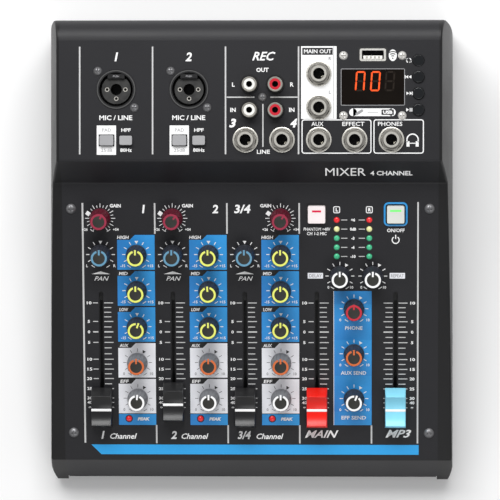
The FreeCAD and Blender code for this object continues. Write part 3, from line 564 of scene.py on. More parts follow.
class Printing:
    def __init__(self, name, face, finish, layer=0):
        self.name, self.face, self.finish = name, face, finish
        self.lift = layer * inkThick
        self.marks, self.words = [], []

    def bar(self, x, y, width, length, turn=0.0, cuts=()):  # a cut is a point, and the way that is lost
        self.marks.append((self.drawBar, x, y, width, length, turn, cuts))

    def disc(self, x, y, width, height, sides=20, turn=0.0):
        self.marks.append((self.drawDisc, x, y, width, height, sides, turn))

    def arc(self, x, y, radius, width, start, sweep):  # clockwise from start
        self.marks.append((self.drawArc, x, y, radius, width, start, sweep))

    def drawBar(self, x, y, width, length, turn, cuts):
        spot = (x * mm, y * mm, 0)
        bpy.ops.mesh.primitive_plane_add(size=mm, location=spot)
        bpy.ops.transform.resize(value=(width, length, 1), center_override=spot)
        self.turned(spot, turn)
        for (cutX, cutY), (wayX, wayY) in cuts:
            bpy.ops.mesh.bisect(plane_co=(cutX * mm, cutY * mm, 0), plane_no=(wayX, wayY, 0), clear_outer=True)

    def drawDisc(self, x, y, width, height, sides, turn):
        spot = (x * mm, y * mm, 0)
        bpy.ops.mesh.primitive_circle_add(vertices=sides, radius=mm / 2, fill_type="NGON", location=spot)
        bpy.ops.transform.resize(value=(width, height, 1), center_override=spot)
        self.turned(spot, turn)

    def drawArc(self, x, y, radius, width, start, sweep):  # a short radial line, swept round
        atX, atY = clockwise(x, y, radius, start)
        spot = (atX * mm, atY * mm, 0)
        bpy.ops.mesh.primitive_plane_add(size=mm, location=spot)
        bpy.ops.transform.resize(value=(width, 0, 1), center_override=spot)
        bpy.ops.mesh.remove_doubles(threshold=0.01 * mm)
        self.turned(spot, start - 90)
        centre = (x * mm, y * mm, 0)
        bpy.ops.mesh.spin(steps=max(2, sweep // 10), angle=math.radians(sweep), center=centre, axis=(0, 0, 1))

    def turned(self, spot, turn):
        if turn:
            bpy.ops.transform.rotate(value=math.radians(turn), orient_axis="Z", center_override=spot)

    def outline(self, left, low, right, high, line, corner):  # a rounded frame
        across, up = (left + right) / 2, (low + high) / 2
        for y in (low, high):
            self.bar(across, y, right - left - 2 * corner, line)
        for x in (left, right):
            self.bar(x, up, line, high - low - 2 * corner)
        for x, y, start in ((left, high, 270), (right, high, 0), (right, low, 90), (left, low, 180)):
            centreX = x + corner if x == left else x - corner
            centreY = y + corner if y == low else y - corner
            self.arc(centreX, centreY, corner, line, start, 90)

    def tile(self, left, low, right, high, cuts=()):
        self.bar((left + right) / 2, (low + high) / 2, right - left, high - low, 0.0, cuts)

    def word(self, text, x, y, height, bold=0.0, slant=0.0, width=None):  # height of the capitals
        self.words.append((text, x, y, height, bold, slant, width))

    def drawWord(self, text, x, y, height, bold, slant, width):
        bpy.ops.object.text_add(location=(x * mm, y * mm, inkThick / 2))
        letters = bpy.context.object
        letters.data.body = text
        letters.data.resolution_u = 2
        letters.data.size = (height - 2 * bold) * mm / capitalShare
        letters.data.offset = bold * mm
        letters.data.shear = slant
        letters.data.extrude = inkThick / 2
        letters.data.align_x = "CENTER"
        bpy.context.view_layer.update()
        ends = [corner[1] for corner in letters.bound_box]
        letters.data.offset_y = -(max(ends) + min(ends)) / 2 if text.isdigit() else -height * mm / 2 + bold * mm
        if width:
            letters.scale.x = width * mm / letters.dimensions.x
        return letters

    def setDown(self, slotName="cover_steel"):
        piece = emptyPiece()
        for draw, *values in self.marks:
            draw(*values)
        bpy.ops.mesh.select_all(action="SELECT")
        if self.marks:
            bpy.ops.transform.translate(value=(0, 0, inkThick / 2))
        editOff()
        if self.marks:
            applied(piece, "SOLIDIFY", thickness=inkThick, offset=0.0, use_even_offset=False)
        letters = [self.drawWord(*word) for word in self.words]
        if letters:
            only(*letters)
            bpy.ops.object.convert(target="MESH")
            piece = joined(piece, *letters)
        faceOutwards(piece)
        place = self.face @ Matrix.Translation((0, 0, self.lift))
        return settle(piece, self.name, place, fixed, finishes[self.finish])


panelWhite = Printing("panelWhitePrint", panelPlace, "whiteInk", 2)
panelLines = Printing("panelLinePrint", panelPlace, "lineInk")
panelBlue = Printing("panelBluePrint", panelPlace, "blueInk")
panelStripe = Printing("panelStripePrint", panelPlace, "stripeInk")
panelPale = Printing("panelPalePrint", panelPlace, "paleInk")
panelBlack = Printing("panelBlackPrint", panelPlace, "blackInk", 1)
panelGrey = Printing("panelGreyPrint", panelPlace, "greyInk", 2)
deckWhite = Printing("deckWhitePrint", deckPlace, "whiteInk")
deckTop = Printing("deckTopPrint", deckPlace, "whiteInk", 2)
deckLines = Printing("deckLinePrint", deckPlace, "lineInk")
deckBlack = Printing("deckBlackPrint", deckPlace, "blackInk", 1)
deckGrey = Printing("deckGreyPrint", deckPlace, "greyInk", 1)
# step lettering in a glowing ink: painted light
stepWhite = Printing("stepWhitePrint", stepPlace, "stepInk")

dialPrint = {
    "reach": (6.4, 8.3),  # inner and outer end of a tick
    "line": 0.45,
    "thin": 0.26,
    "arcRadius": 8.2,
    "labelX": 7.9,
    "labelY": -6.6,
    "labelHeight": 1.6,
}


def dialScale(layer, x, y, marker=0, ends=("", ""), line=None, labels=None, labelX=None):
    low, high = dialPrint["reach"]
    line = line or dialPrint["line"]
    for angle in range(-120, 121, 30):
        if angle != marker:
            layer.bar(*clockwise(x, y, (low + high) / 2, angle), line, high - low, angle)
    layer.disc(*clockwise(x, y, 7.3, marker), 2.5, 2.5, 3, marker + 180)
    for side in (-1, 1):
        layer.arc(x, y, dialPrint["arcRadius"], line, 140 if side > 0 else 204, 16)
    for side, text in zip((-1, 1), ends):
        spot = x + side * (labelX or dialPrint["labelX"]), y + dialPrint["labelY"]
        (labels or layer).word(text, *spot, dialPrint["labelHeight"], 0.05)


def gainScale(layer, x, y):
    for step in range(-10, 11):
        angle = step * 15
        long = step % 2 == 0
        if angle not in (-75, -60):
            reach = 8.7 if long else 7.7
            layer.bar(*clockwise(x, y, (6.3 + reach) / 2, angle), 0.36, reach - 6.3, angle)
    layer.bar(*clockwise(x, y, 7.5, -68), 2.4, 2.4, -54)
    for side, text in zip((-1, 1), ("+26", "+54")):
        layer.arc(x, y, 8.6, 0.4, 138 if side > 0 else 206, 16)
        layer.word(text, x + side * 8.9, y - 6.5, 1.55, 0.06)


toneBox = {"left": -11.1, "right": 10.5, "low": -8.9, "high": 11.4, "tabWidth": 7.4, "tabHeight": 2.8}


def toneDial(name, title, pale):
    x, y = dialSpots[name]
    box = toneBox
    left, high = x + box["left"], y + box["high"]
    (panelPale if pale else panelBlue).tile(left, y + box["low"], x + box["right"], high)
    corner = (left + box["tabWidth"], high - box["tabHeight"])
    panelBlack.tile(left - 0.2, corner[1], corner[0] + box["tabHeight"], high + 0.1, ((corner, (1, -1)),))
    panelWhite.word(title, left + 3.3, high - box["tabHeight"] / 2, 1.9, 0.07, 0.12, 1.7 * len(title))
    if pale:
        dialScale(panelBlack, x, y, 30, ("0", "10"), dialPrint["thin"], panelGrey)
    else:
        dialScale(panelWhite, x, y, 0, ("-15", "+15"))


channelEdge = dialSpots["pan_knob_1"][0] - 10.1
channelPitch = dialSpots["pan_knob_2"][0] - dialSpots["pan_knob_1"][0]
channelNames = ("1", "2", "3/4")
for channel, title in enumerate(channelNames, 1):
    edge = channelEdge + (channel - 1) * channelPitch
    stereo = channel == 3
    gainX, gainY = dialSpots[f"gain_knob_{channel}"]
    gainScale(panelWhite, gainX, gainY)
    panelWhite.word("GAIN", gainX + (-8.5 if stereo else 8.8), gainY + 7.3, 2.0, 0.1, 0.0, 6.4)
    panelWhite.word(title, edge + (8.6 if stereo else 34.8), gainY + 5.4, 4.9, 0.2, 0.12, 9.4 if stereo else None)
    panX, panY = dialSpots[f"pan_knob_{channel}"]
    dialScale(panelWhite, panX, panY, 0, ("L", "R"))
    panelWhite.disc(panX, panY - 10.9, 12.4, 2.2, 3)
    panelWhite.word("PAN", panX, panY - 14.0, 2.5, 0.02, 0.35, 8.4)
    for row, name in (("high", "HIGH"), ("mid", "MID"), ("low", "LOW"), ("aux", "AUX"), ("effect", "EFF")):
        toneDial(f"{row}_knob_{channel}", name, row in ("aux", "effect"))
    dialX, dialY = dialSpots[f"effect_knob_{channel}"]
    panelBlue.tile(dialX + toneBox["left"], dialY - 15.8, dialX + toneBox["right"], dialY - 9.3)
    panelWhite.word("PEAK", dialX + 3.0, dialY - 12.2, 1.9, 0.14, 0.18, 7.0)
    panelLines.bar(edge + channelPitch, dialY + 105.4, 0.9, 17.8)
    panelLines.bar(edge + channelPitch, 15.1, 0.9, 10.8)
    panelWhite.word(title, edge + (9.0 if stereo else 9.9), 14.6, 4.7, 0.2, 0.2, 7.6 if stereo else None)
    panelWhite.word("Channel", edge + (21.6 if channel < 3 else 23.6), 13.9, 3.2, 0.08, 0.28, 15.6)
panelLines.bar(channelEdge, 80.3, 1.0, 140.8)
panelLines.bar(96.3, 80.5, 0.9, 141.4)
panelLines.bar(69.7, 15.1, 0.9, 10.8)

faderNumbers = {61.4: "10", 50.5: "5", 44.4: "0", 38.2: "5", 28.3: "10", 22.5: "15", 16.9: "20", 11.0: "25",
                5.4: "30", 2.8: "40", -0.1: "∞"}  # heights above the stem's low end
faderTicks = (58.7, 55.9, 53.2, 47.3, 41.3, 35.0, 31.5, 25.4, 19.7, 13.8)  # lines with no number
for name in faders:
    x, start = faderSpot(name)
    player = name == "player_fader"
    for rise, text in [*faderNumbers.items(), *[(rise, "") for rise in faderTicks]]:
        thick = 0.75 if text == "0" else 0.5
        reach = 5.2 if text else 4.1
        panelLines.bar(x + 1.7 + reach / 2, start + rise, reach, thick)
        if player:
            panelLines.bar(x - 1.7 - reach / 2, start + rise, reach, thick)
        elif text:
            panelLines.bar(x - 3.3, start + rise, 3.0, thick)
        if text:
            panelWhite.word(text, x + (9.6 if player else -7.2), start + rise, 1.7, 0.06, 0.0, 1.4 * len(text))

stripe = {"left": -96.8, "right": 97.0, "low": 3.1, "high": 8.9, "cut": 9.8}
cutWay = (stripe["low"] - stripe["high"], -stripe["cut"])
panelStripe.tile(stripe["left"], stripe["low"], stripe["right"], stripe["high"], (
    ((stripe["left"] + stripe["cut"], stripe["low"]), cutWay),
    ((stripe["right"] - stripe["cut"], stripe["low"]), (-cutWay[0], cutWay[1])),
))
panelWhite.word("MAIN", 39.9, 15.3, 4.4, 0.12, 0.4, 19.4)
panelWhite.word("MP3", 84.5, 15.6, 4.6, 0.16, 0.4, 14.8)

for name, title, side in (("delay_knob", "DELAY", -1), ("repeat_knob", "REPEAT", 1)):
    x, y = dialSpots[name]
    dialScale(panelWhite, x, y, 30, ("0", "10"), labelX=6.6)
    panelWhite.lift = 2 * inkThick
    panelPale.tile(x + side * 14.1 - 4.4, y - 1.5, x + side * 14.1 + 4.4, y + 1.8)
    panelGrey.word(title, x + side * 14.1, y + 0.15, 1.9, 0.02, 0.0, 7.4)
sendX, sendHigh = dialSpots["phones_knob"]
sendLow = dialSpots["effect_send_knob"][1] - 15.7
panelBlue.tile(sendX - 11.5, sendLow, sendX + 10.2, sendHigh + 10.3)
panelPale.tile(sendX - 11.8, sendLow, sendX - 11.5, sendHigh + 10.3)
for name, title, wide in (("phones_knob", "PHONE", 10.0), ("aux_send_knob", "AUX SEND", 14.6),
                          ("effect_send_knob", "EFF SEND", 14.2)):
    x, y = dialSpots[name]
    dialScale(panelWhite, x, y, 30, ("0", "10"))
    panelWhite.word(title, x - 0.2, y - 11.3, 2.1, 0.05, 0.0, wide)

buttonRow = 144.2
phantomX, powerX = [boxSpot(name, panelPlace)[0] for name in ("phantom_button", "power_button")]
panelWhite.word("PHANTOM +48V", phantomX, buttonRow - 8.7, 1.8, 0.05, 0.1, 15.4)
panelWhite.word("CH 1-2 MIC", phantomX, buttonRow - 11.3, 1.8, 0.05, 0.1, 11.4)
panelWhite.word("ON/OFF", powerX, buttonRow - 9.4, 2.1, 0.08, 0.08, 10.2)
panelWhite.arc(powerX, buttonRow - 15.0, 2.0, 0.6, 35, 290)
panelWhite.bar(powerX, buttonRow - 13.2, 0.6, 2.4)
lampRows = [119.6 + 5.3 * row for row in range(5)]
lampColumns = (49.7, 68.4)
for text, y in zip(("-10", "-6", "-3", "0dB", "+6"), lampRows):
    panelWhite.word(text, sum(lampColumns) / 2, y, 1.7, 0.1)
    for x, side in zip(lampColumns, (1, -1)):
        panelLines.bar(x + side * 4.3, y, 3.6, 0.45)
for x, text in zip(lampColumns, "LR"):
    panelWhite.outline(x - 1.7, 145.0, x + 1.7, 148.5, 0.5, 0.6)
    panelWhite.word(text, x, 146.75, 2.0, 0.16)
print("panel print laid out")

comboX = [plugSpots[f"combo_jack_{channel}"][0] for channel in (1, 2)]
comboY = plugSpots["combo_jack_1"][1]
for channel, x in enumerate(comboX, 1):
    deckTop.word(str(channel), x - 0.3, comboY + 18.5, 5.0, 0.2, 0.2)
    deckTop.word("MIC / LINE", x - 0.2, comboY - 16.1, 2.7, 0.08, 0.0, 18.8)
    padX, padY = boxSpot(f"pad_button_{channel}", deckPlace)
    cutX, cutY = boxSpot(f"lowcut_button_{channel}", deckPlace)
    for low, high in ((padY - 8.2, padY - 3.4), (padY + 3.4, padY + 8.5)):
        deckWhite.tile(padX - 5.6, low, padX + 5.4, high)
    for left, right in ((padX - 5.6, padX - 4.5), (padX + 4.5, padX + 5.4)):
        deckWhite.tile(left, padY - 3.4, right, padY + 3.4)
    deckGrey.word("PAD", padX, padY + 5.9, 1.8, 0.0, 0.0, 5.2)
    deckGrey.word("25dB", padX, padY - 5.6, 1.8, 0.0, 0.0, 6.4)
    deckTop.word("HPF", cutX, cutY + 5.9, 2.0, 0.07, 0.0, 5.4)
    deckTop.word("80Hz", cutX, cutY - 5.5, 2.0, 0.07, 0.0, 6.6)
for line in range(4):
    deckLines.bar(channelEdge + line * channelPitch, 34.4, 0.85, 61.2)
pinX, pinY = [sum(plugSpots[name][i] for name in ("in_left_pin_jack", "out_right_pin_jack")) / 2 for i in (0, 1)]
deckTop.word("REC", pinX, 59.5, 4.9, 0.14, 0.35, 13.2)
deckTop.word("OUT", pinX, 51.7, 2.4, 0.1, 0.0, 7.0)
for side in (-1, 1):
    deckTop.word("L" if side < 0 else "R", pinX + side * 16.6, pinY + 7.2, 2.4, 0.1)
    deckTop.word("IN", pinX + side * 16.7, pinY - 7.2, 2.4, 0.1, 0.0, 3.1)
    deckTop.word("3" if side < 0 else "4", pinX + side * 17.3, 21.5, 5.0, 0.3, 0.28, 4.0)
    deckLines.bar(pinX + side * 12.4, pinY, 15.8, 0.7)
deckLines.bar(pinX + 0.3, 20.2, 0.7, 24.4)
deckTop.word("LINE", pinX + 0.5, 5.2, 2.3, 0.05, 0.0, 7.4)
mainX = plugSpots["main_left_jack"][0]
jackRoom = 4.9  # half the square left open for a jack, hidden by its washer
mainLow, mainHigh = sorted(plugSpots[name][1] for name in ("main_left_jack", "main_right_jack"))
mainTile = {"left": 29.6, "right": 49.8, "low": 23.8, "high": 65.1}
deckWhite.tile(mainTile["left"], mainTile["low"], mainX - jackRoom, mainTile["high"])
deckWhite.tile(mainX + jackRoom, mainTile["low"], mainTile["right"], mainTile["high"])
for low, high in ((mainTile["low"], mainLow - jackRoom), (mainLow + jackRoom, mainHigh - jackRoom),
                  (mainHigh + jackRoom, mainTile["high"])):
    deckWhite.tile(mainX - jackRoom, low, mainX + jackRoom, high)
deckGrey.bar(48.1, 44.6, 0.25, 40.6)
deckBlack.tile(30.3, 60.2, 47.6, 64.2)
deckTop.word("MAIN OUT", 39.0, 62.2, 2.2, 0.06, 0.0, 15.6)
for name, text in (("main_left_jack", "L"), ("main_right_jack", "R")):
    deckGrey.word(text, mainX + 6.2, plugSpots[name][1] + 8.6, 1.9, 0.08)
deckTop.outline(30.2, 4.4, 69.3, 23.3, 0.6, 1.3)
deckTop.outline(71.0, 4.4, 99.0, 23.3, 0.6, 1.3)
for name, text, wide in (("aux_jack", "AUX", 6.8), ("effect_jack", "EFFECT", 12.6),
                         ("phones_jack", "PHONES", 13.8)):
    deckTop.word(text, plugSpots[name][0] - 0.8, 21.0, 2.3, 0.04, 0.0, wide)
earX, earY = plugSpots["phones_jack"][0] + 12.0, plugSpots["phones_jack"][1]
deckTop.arc(earX, earY, 3.2, 0.7, 270, 180)
for side in (-1, 1):
    deckTop.bar(earX + side * 3.2, earY - 0.7, 0.7, 1.6)
    deckTop.bar(earX + side * 2.6, earY - 2.4, 1.7, 3.0)
deckTop.bar(earX, earY - 2.0, 3.8, 0.5)
stickX, stickY = boxSpot("usb_socket", deckPlace)
# black outline round the socket: painted shade in the gap of the deck's cut-out
deckBlack.outline(stickX - 7.9, stickY - 4.0, stickX + 7.9, stickY + 4.0, 0.8, 0.4)
waveX, waveY = stickX + 11.3, stickY - 0.3  # wireless mark: a white oval with three dark arcs
deckWhite.disc(waveX, waveY, 4.6, 6.6, 28)
deckBlack.disc(waveX, waveY - 1.7, 0.8, 0.8, 12)
for radius in (1.6, 2.8, 4.0):
    deckBlack.arc(waveX, waveY - 1.9, radius, 0.55, -32, 64)
pillX, pillY = stickX - 0.2, 27.6  # pill under the window: a stick on the left, its name on the right
deckWhite.bar(pillX, pillY, 22.0, 4.4)
for side in (-1, 1):
    deckWhite.disc(pillX + side * 11.0, pillY, 4.4, 4.4, 24)
deckGrey.bar(pillX - 7.4, pillY, 1.5, 4.6, 58)
deckGrey.bar(pillX + 0.2, pillY, 6.0, 0.3)
deckBlack.bar(pillX + 8.6, pillY, 7.0, 3.0)
deckTop.word("USB", pillX + 8.6, pillY, 1.9, 0.12, 0.0, 5.4)
symbolX = 90.7
rows = [boxSpot(name, deckPlace)[1] for name in playerButtons]
deckTop.arc(symbolX, rows[0], 1.2, 0.5, 20, 140)
deckTop.arc(symbolX, rows[0], 1.2, 0.5, 200, 140)
for x, y, turn in ((-1.1, 0.6, -60), (1.1, -0.6, 120)):
    deckTop.disc(symbolX + x, rows[0] + y, 1.5, 1.5, 3, turn)
for row, turn in ((1, -90), (2, 90)):
    for shift in (-0.8, 1.0):
        deckTop.disc(symbolX + shift, rows[row], 2.2, 2.0, 3, turn)
    deckTop.bar(symbolX + (-2.0 if turn < 0 else 2.0), rows[row], 0.45, 2.0)
deckTop.disc(symbolX - 0.9, rows[3], 2.3, 2.2, 3, 90)
for shift in (0.8, 1.8):
    deckTop.bar(symbolX + shift, rows[3], 0.5, 2.0)
stepHeight = math.hypot(deckY - stepY, coverHigh.z - stepZ) / mm
stepWhite.word("MIXER", 54.5, stepHeight * 0.5, 7.4, 0.0, 0.0, 23.0)
stepWhite.word("4 CHANNEL", 81.0, stepHeight * 0.44, 4.2, 0.12, 0.0, 24.0)
print("deck print laid out")

for printing in (panelWhite, panelLines, panelBlue, panelStripe, panelPale, panelBlack, panelGrey,
                 deckWhite, deckTop, deckLines, deckBlack, deckGrey, stepWhite):
    printing.setDown()
    print("printed", printing.name, len(printing.marks), "marks,", len(printing.words), "words")


# knobs: ribbed grip, printed ring and pointer

knobSize = {
    "skirt": 5.95 * mm,
    "lift": 1.02 * mm,
    "skirtTop": 3.3 * mm,
    "grip": 5.45 * mm,
    "crown": 4.9 * mm,
    "top": 13.9 * mm,
    "ribs": 14,
    "ringOuter": 4.6 * mm,
    "ringInner": 3.45 * mm,
    "ringGap": 20,  # degrees left open on each side of the pointer
    "bar": 1.0 * mm,
    "barLength": 3.05 * mm,
    "barProud": 0.25 * mm,
}


def standing(sides, radius, low, high):  # a round or many-sided post about the part's own axis
    bpy.ops.mesh.primitive_cylinder_add(vertices=sides, radius=radius, depth=high - low,
                                        location=(0, 0, (low + high) / 2))
    bpy.ops.object.transform_apply(location=True, rotation=True, scale=True)
    return bpy.context.object


def brick(width, length, low, high):
    bpy.ops.mesh.primitive_cube_add(size=1, location=(0, 0, (low + high) / 2))
    bpy.context.object.scale = (width, length, high - low)
    bpy.ops.object.transform_apply(location=True, rotation=True, scale=True)
    return bpy.context.object


def knobBody():
    size = knobSize
    piece = standing(size["ribs"] * 6, size["skirt"], size["lift"], size["skirtTop"] - 0.5 * mm)
    editOn()
    pickFaces(lambda middle, normal: normal.z > 0.9)
    steps = (
        (size["grip"] + 0.3 * mm, size["skirtTop"]),  # shoulder of the skirt
        (size["grip"], size["skirtTop"] + 0.5 * mm),
        (size["crown"] + 0.12 * mm, size["top"] - 0.9 * mm),
        (size["crown"] - 0.25 * mm, size["top"] - 0.1 * mm),
        (size["crown"] - 0.75 * mm, size["top"]),
        (size["ringInner"] - 0.5 * mm, size["top"]),
        (size["ringInner"] - 1.3 * mm, size["top"] - 0.25 * mm),  # shallow dip in the middle
    )
    radius, height = size["skirt"], size["skirtTop"] - 0.5 * mm
    for nextRadius, nextHeight in steps:
        bpy.ops.mesh.extrude_region_move(TRANSFORM_OT_translate={"value": (0, 0, nextHeight - height)})
        share = nextRadius / radius
        bpy.ops.transform.resize(value=(share, share, 1), center_override=(0, 0, nextHeight))
        radius, height = nextRadius, nextHeight

    def inRib(spot):  # every other third of the grip's wall is pressed in between two ribs
        turn = math.degrees(math.atan2(spot.y, spot.x)) % (360 / size["ribs"])
        wall = size["skirtTop"] + 0.3 * mm < spot.z < size["top"] - 0.5 * mm
        outside = math.hypot(spot.x, spot.y) > size["crown"] - 0.2 * mm
        return wall and outside and 0.34 < turn * size["ribs"] / 360 < 0.66

    pickFaces(lambda middle, normal: inRib(middle) and abs(normal.z) < 0.5)
    bpy.ops.mesh.inset(thickness=0.12 * mm, depth=0.0, use_individual=False)
    bpy.ops.transform.resize(value=(0.945, 0.945, 1), center_override=(0, 0, 0))
    editOff()
    applied(piece, "BEVEL", width=0.12 * mm, segments=1, limit_method="ANGLE", angle_limit=math.radians(50))
    only(piece)
    bpy.ops.object.shade_smooth_by_angle(angle=math.radians(42))
    return piece


def flatRing(outer, inner, low, high, start=0, sweep=360):  # part of a ring, clockwise from start
    printing = Printing("ring", Matrix(), "white")
    printing.arc(0, 0, (outer + inner) / 2 / mm, (outer - inner) / mm, start, sweep)
    return thickFlat(printing, low, high)


def thickFlat(printing, low, high):  # the marks of a printing, given a thickness and rounded a little
    piece = emptyPiece()
    for draw, *values in printing.marks:
        draw(*values)
    bpy.ops.mesh.select_all(action="SELECT")
    bpy.ops.mesh.remove_doubles(threshold=0.002 * mm)
    bpy.ops.mesh.normals_make_consistent(inside=False)
    bpy.ops.transform.translate(value=(0, 0, (low + high) / 2))
    editOff()
    applied(piece, "SOLIDIFY", thickness=high - low, offset=0.0, use_even_offset=False)
    faceOutwards(piece)
    return piece


def pointerRing(closed=False):
    size = knobSize
    gap = 0 if closed else size["ringGap"]
    low, high = size["top"] - 0.05 * mm, size["top"] + 0.06 * mm
    ring = flatRing(size["ringOuter"], size["ringInner"], low, high, gap, 360 - 2 * gap)
    bar = Printing("bar", Matrix(), "white")
    length = size["barLength"] / mm
    bar.bar(0, (size["ringOuter"] + size["barProud"]) / mm - length / 2, size["bar"] / mm, length)
    tongue = thickFlat(bar, low + 0.02 * mm, high + 0.02 * mm)
    return joined(ring, tongue)


def crownDisc():
    size = knobSize
    piece = standing(40, size["ringInner"] - 0.05 * mm, size["top"] - 0.3 * mm, size["top"] + 0.03 * mm)
    return softEdges(piece, 0.08 * mm)


def knobPlace(name):
    joint = joints[name]
    axis, rest = Vector(joint["axis"]), -150 - joint["range_deg"][0]
    tilt = math.atan2(axis.y, -axis.z)
    place = Matrix.Translation(Vector(joint["pos_m"])) @ Matrix.Rotation(tilt, 4, "X")
    return place @ Matrix.Rotation(-math.radians(rest), 4, "Z")


def knobLook(name):  # body, ring, and whether the ring is closed
    if name.startswith("gain"):
        return "knobCrimson", "crimson", True
    if name.startswith("pan"):
        return "knobDark", "paleBlue", False
    if name.startswith(("aux_knob", "effect_knob")):
        return "knobGrey", "orange" if name.startswith("aux") else "white", False
    if name == "phones_knob":
        return "knobDark", "rose", True
    if name == "aux_send_knob":
        return "knobDark", "orange", False
    if name in ("delay_knob", "repeat_knob", "effect_send_knob"):
        return "knobDark", "white", False
    return "knobDark", "lime", False


masterKnob, masterRing, masterClosed, masterCrown = knobBody(), pointerRing(), pointerRing(True), crownDisc()
for name in dials:
    bodyFinish, ringFinish, closed = knobLook(name)
    place = knobPlace(name)
    grip = settle(copyOf(masterKnob), name + "_grip", place, name, finishes[bodyFinish])
    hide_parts(name)
    ring = copyOf(masterClosed if closed else masterRing)
    settle(ring, name + "_ring", place, name, finishes[ringFinish])
    settle(copyOf(masterCrown), name + "_crown", place, name, finishes["crownBlack"])
drop(masterKnob, masterRing, masterClosed, masterCrown)
print("knobs made")


# fader caps: a saddle with a white line across, on a metal stem

faderSize = {
    "length": 23.7 * mm,
    "width": 12.1 * mm,
    "low": 1.05 * mm,
    "high": 11.5 * mm,
    "lip": 8.75 * mm,  # half the span between the two lips
    "dish": 3.4 * mm,
    "line": 1.5 * mm,
}


def faderCap():
    size = faderSize
    piece = brick(size["width"], size["length"], size["low"], size["high"])
    editOn()
    pickFaces(lambda middle, normal: normal.z > 0.9)
    narrow = (size["width"] - 0.9 * mm) / size["width"]
    bpy.ops.transform.resize(value=(narrow, 2 * size["lip"] / size["length"], 1),
                             center_override=(0, 0, size["high"]))
    editOff()
    radius = (size["lip"] ** 2 + size["dish"] ** 2) / (2 * size["dish"])
    bpy.ops.mesh.primitive_cylinder_add(vertices=96, radius=radius, depth=0.03, rotation=(0, math.pi / 2, 0),
                                        location=(0, 0, size["high"] - size["dish"] + radius + 0.3 * mm))
    dish = bpy.context.object
    applied(piece, "BOOLEAN", operation="DIFFERENCE", object=dish, solver="EXACT")
    bpy.data.objects.remove(dish)
    return softEdges(piece, 0.45 * mm, 3, 30)


def faderLine():  # inlaid bar over the dish and down both sides
    size = faderSize
    bottom = size["high"] - size["dish"] + 0.3 * mm
    piece = brick(size["width"] - 0.62 * mm, size["line"], bottom - 0.9 * mm, bottom + 0.1 * mm)
    editOn()
    pickFaces(lambda middle, normal: abs(normal.x) > 0.9)
    bpy.ops.mesh.inset(thickness=0.12 * mm)
    bpy.ops.transform.resize(value=(1.01, 1, 1), center_override=(0, 0, 0))
    editOff()
    return softEdges(piece, 0.12 * mm)


def faderStem():
    piece = brick(1.2 * mm, 4.0 * mm, -8.4 * mm, 3.2 * mm)
    editOn()
    pickFaces(lambda middle, normal: normal.z < -0.9)
    bpy.ops.mesh.extrude_region_move(TRANSFORM_OT_translate={"value": (0, 0, -1.0 * mm)})
    bpy.ops.transform.resize(value=(2.2, 1.7, 1), center_override=(0, 0, -9.4 * mm))
    editOff()
    return softEdges(piece, 0.1 * mm, 1)


masterCap, masterLine, masterStem = faderCap(), faderLine(), faderStem()
faderFinish = {"main_fader": "capRed", "player_fader": "capBlue"}
for name in faders:
    x, start = faderSpot(name)
    rest = -joints[name]["range_m"][0] / mm
    place = panelPlace @ Matrix.Translation((x * mm, (start + rest) * mm, 0))
    finish = finishes[faderFinish.get(name, "capBlack")]
    cap = settle(copyOf(masterCap), name + "_cap", place, name, finish)
    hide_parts(name)
    settle(copyOf(masterLine), name + "_line", place, name, finishes["capLine"])
    settle(copyOf(masterStem), name + "_stem", place, name, finishes["steel"])
drop(masterCap, masterLine, masterStem)
print("faders made")


# lamps: domed lenses in the panel

def lampPiece():
    bpy.ops.mesh.primitive_uv_sphere_add(segments=28, ring_count=14, radius=1.68 * mm)
    piece = bpy.context.object
    editOn()
    bpy.ops.mesh.select_all(action="SELECT")
    bpy.ops.mesh.bisect(plane_co=(0, 0, 0), plane_no=(0, 0, -1), clear_outer=True, use_fill=True)
    bpy.ops.mesh.select_all(action="SELECT")
    bpy.ops.transform.resize(value=(1, 1, 0.72), center_override=(0, 0, 0))
    pickFaces(lambda middle, normal: normal.z < -0.9)
    bpy.ops.mesh.extrude_region_move(TRANSFORM_OT_translate={"value": (0, 0, -4.0 * mm)})
    editOff()
    only(piece)
    bpy.ops.object.shade_smooth_by_angle(angle=math.radians(40))
    return piece


def lampRim():  # thin dark ring where the lens leaves the sheet: painted shade in the crease round the lens
    return flatRing(2.15 * mm, 1.7 * mm, 0.0, 0.16 * mm)


masterLamp, masterLampShade = lampPiece(), lampRim()
lampSpots = [(x, y, finish) for x in lampColumns
             for y, finish in zip(lampRows, ("lampGreen", "lampGreen", "lampGreen", "lampYellow", "lampRed"))]
lampSpots += [(channelEdge + 25.6 + channelPitch * i, 24.3, "lampRed") for i in range(3)]
for number, (x, y, finish) in enumerate(lampSpots, 1):
    place = panelPlace @ Matrix.Translation((x * mm, y * mm, 0))
    lens = settle(copyOf(masterLamp), f"lamp_{number}", place, fixed, finishes[finish])
    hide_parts("leds")
    settle(copyOf(masterLampShade), f"lampShadeRing_{number}", place, fixed, finishes["blackInk"])
drop(masterLamp, masterLampShade)
print("lamps made")


# phone jacks: dished washer, six-sided nut, contact leaf down in the bore, and a dark flat ring between washer and
# nut that is painted shadow

def washerPiece():
    piece = standing(64, 7.25 * mm, 0, 0.55 * mm)
    editOn()
    pickFaces(lambda middle, normal: normal.z > 0.9)
    bpy.ops.mesh.inset(thickness=0.75 * mm)
    bpy.ops.transform.translate(value=(0, 0, 0.05 * mm))
    bpy.ops.mesh.inset(thickness=1.85 * mm)
    pickFaces(lambda middle, normal: abs(normal.z) > 0.9 and middle.xy.length < 1 * mm)
    bpy.ops.mesh.delete(type="FACE")
    editOff()
    return softEdges(piece, 0.12 * mm)


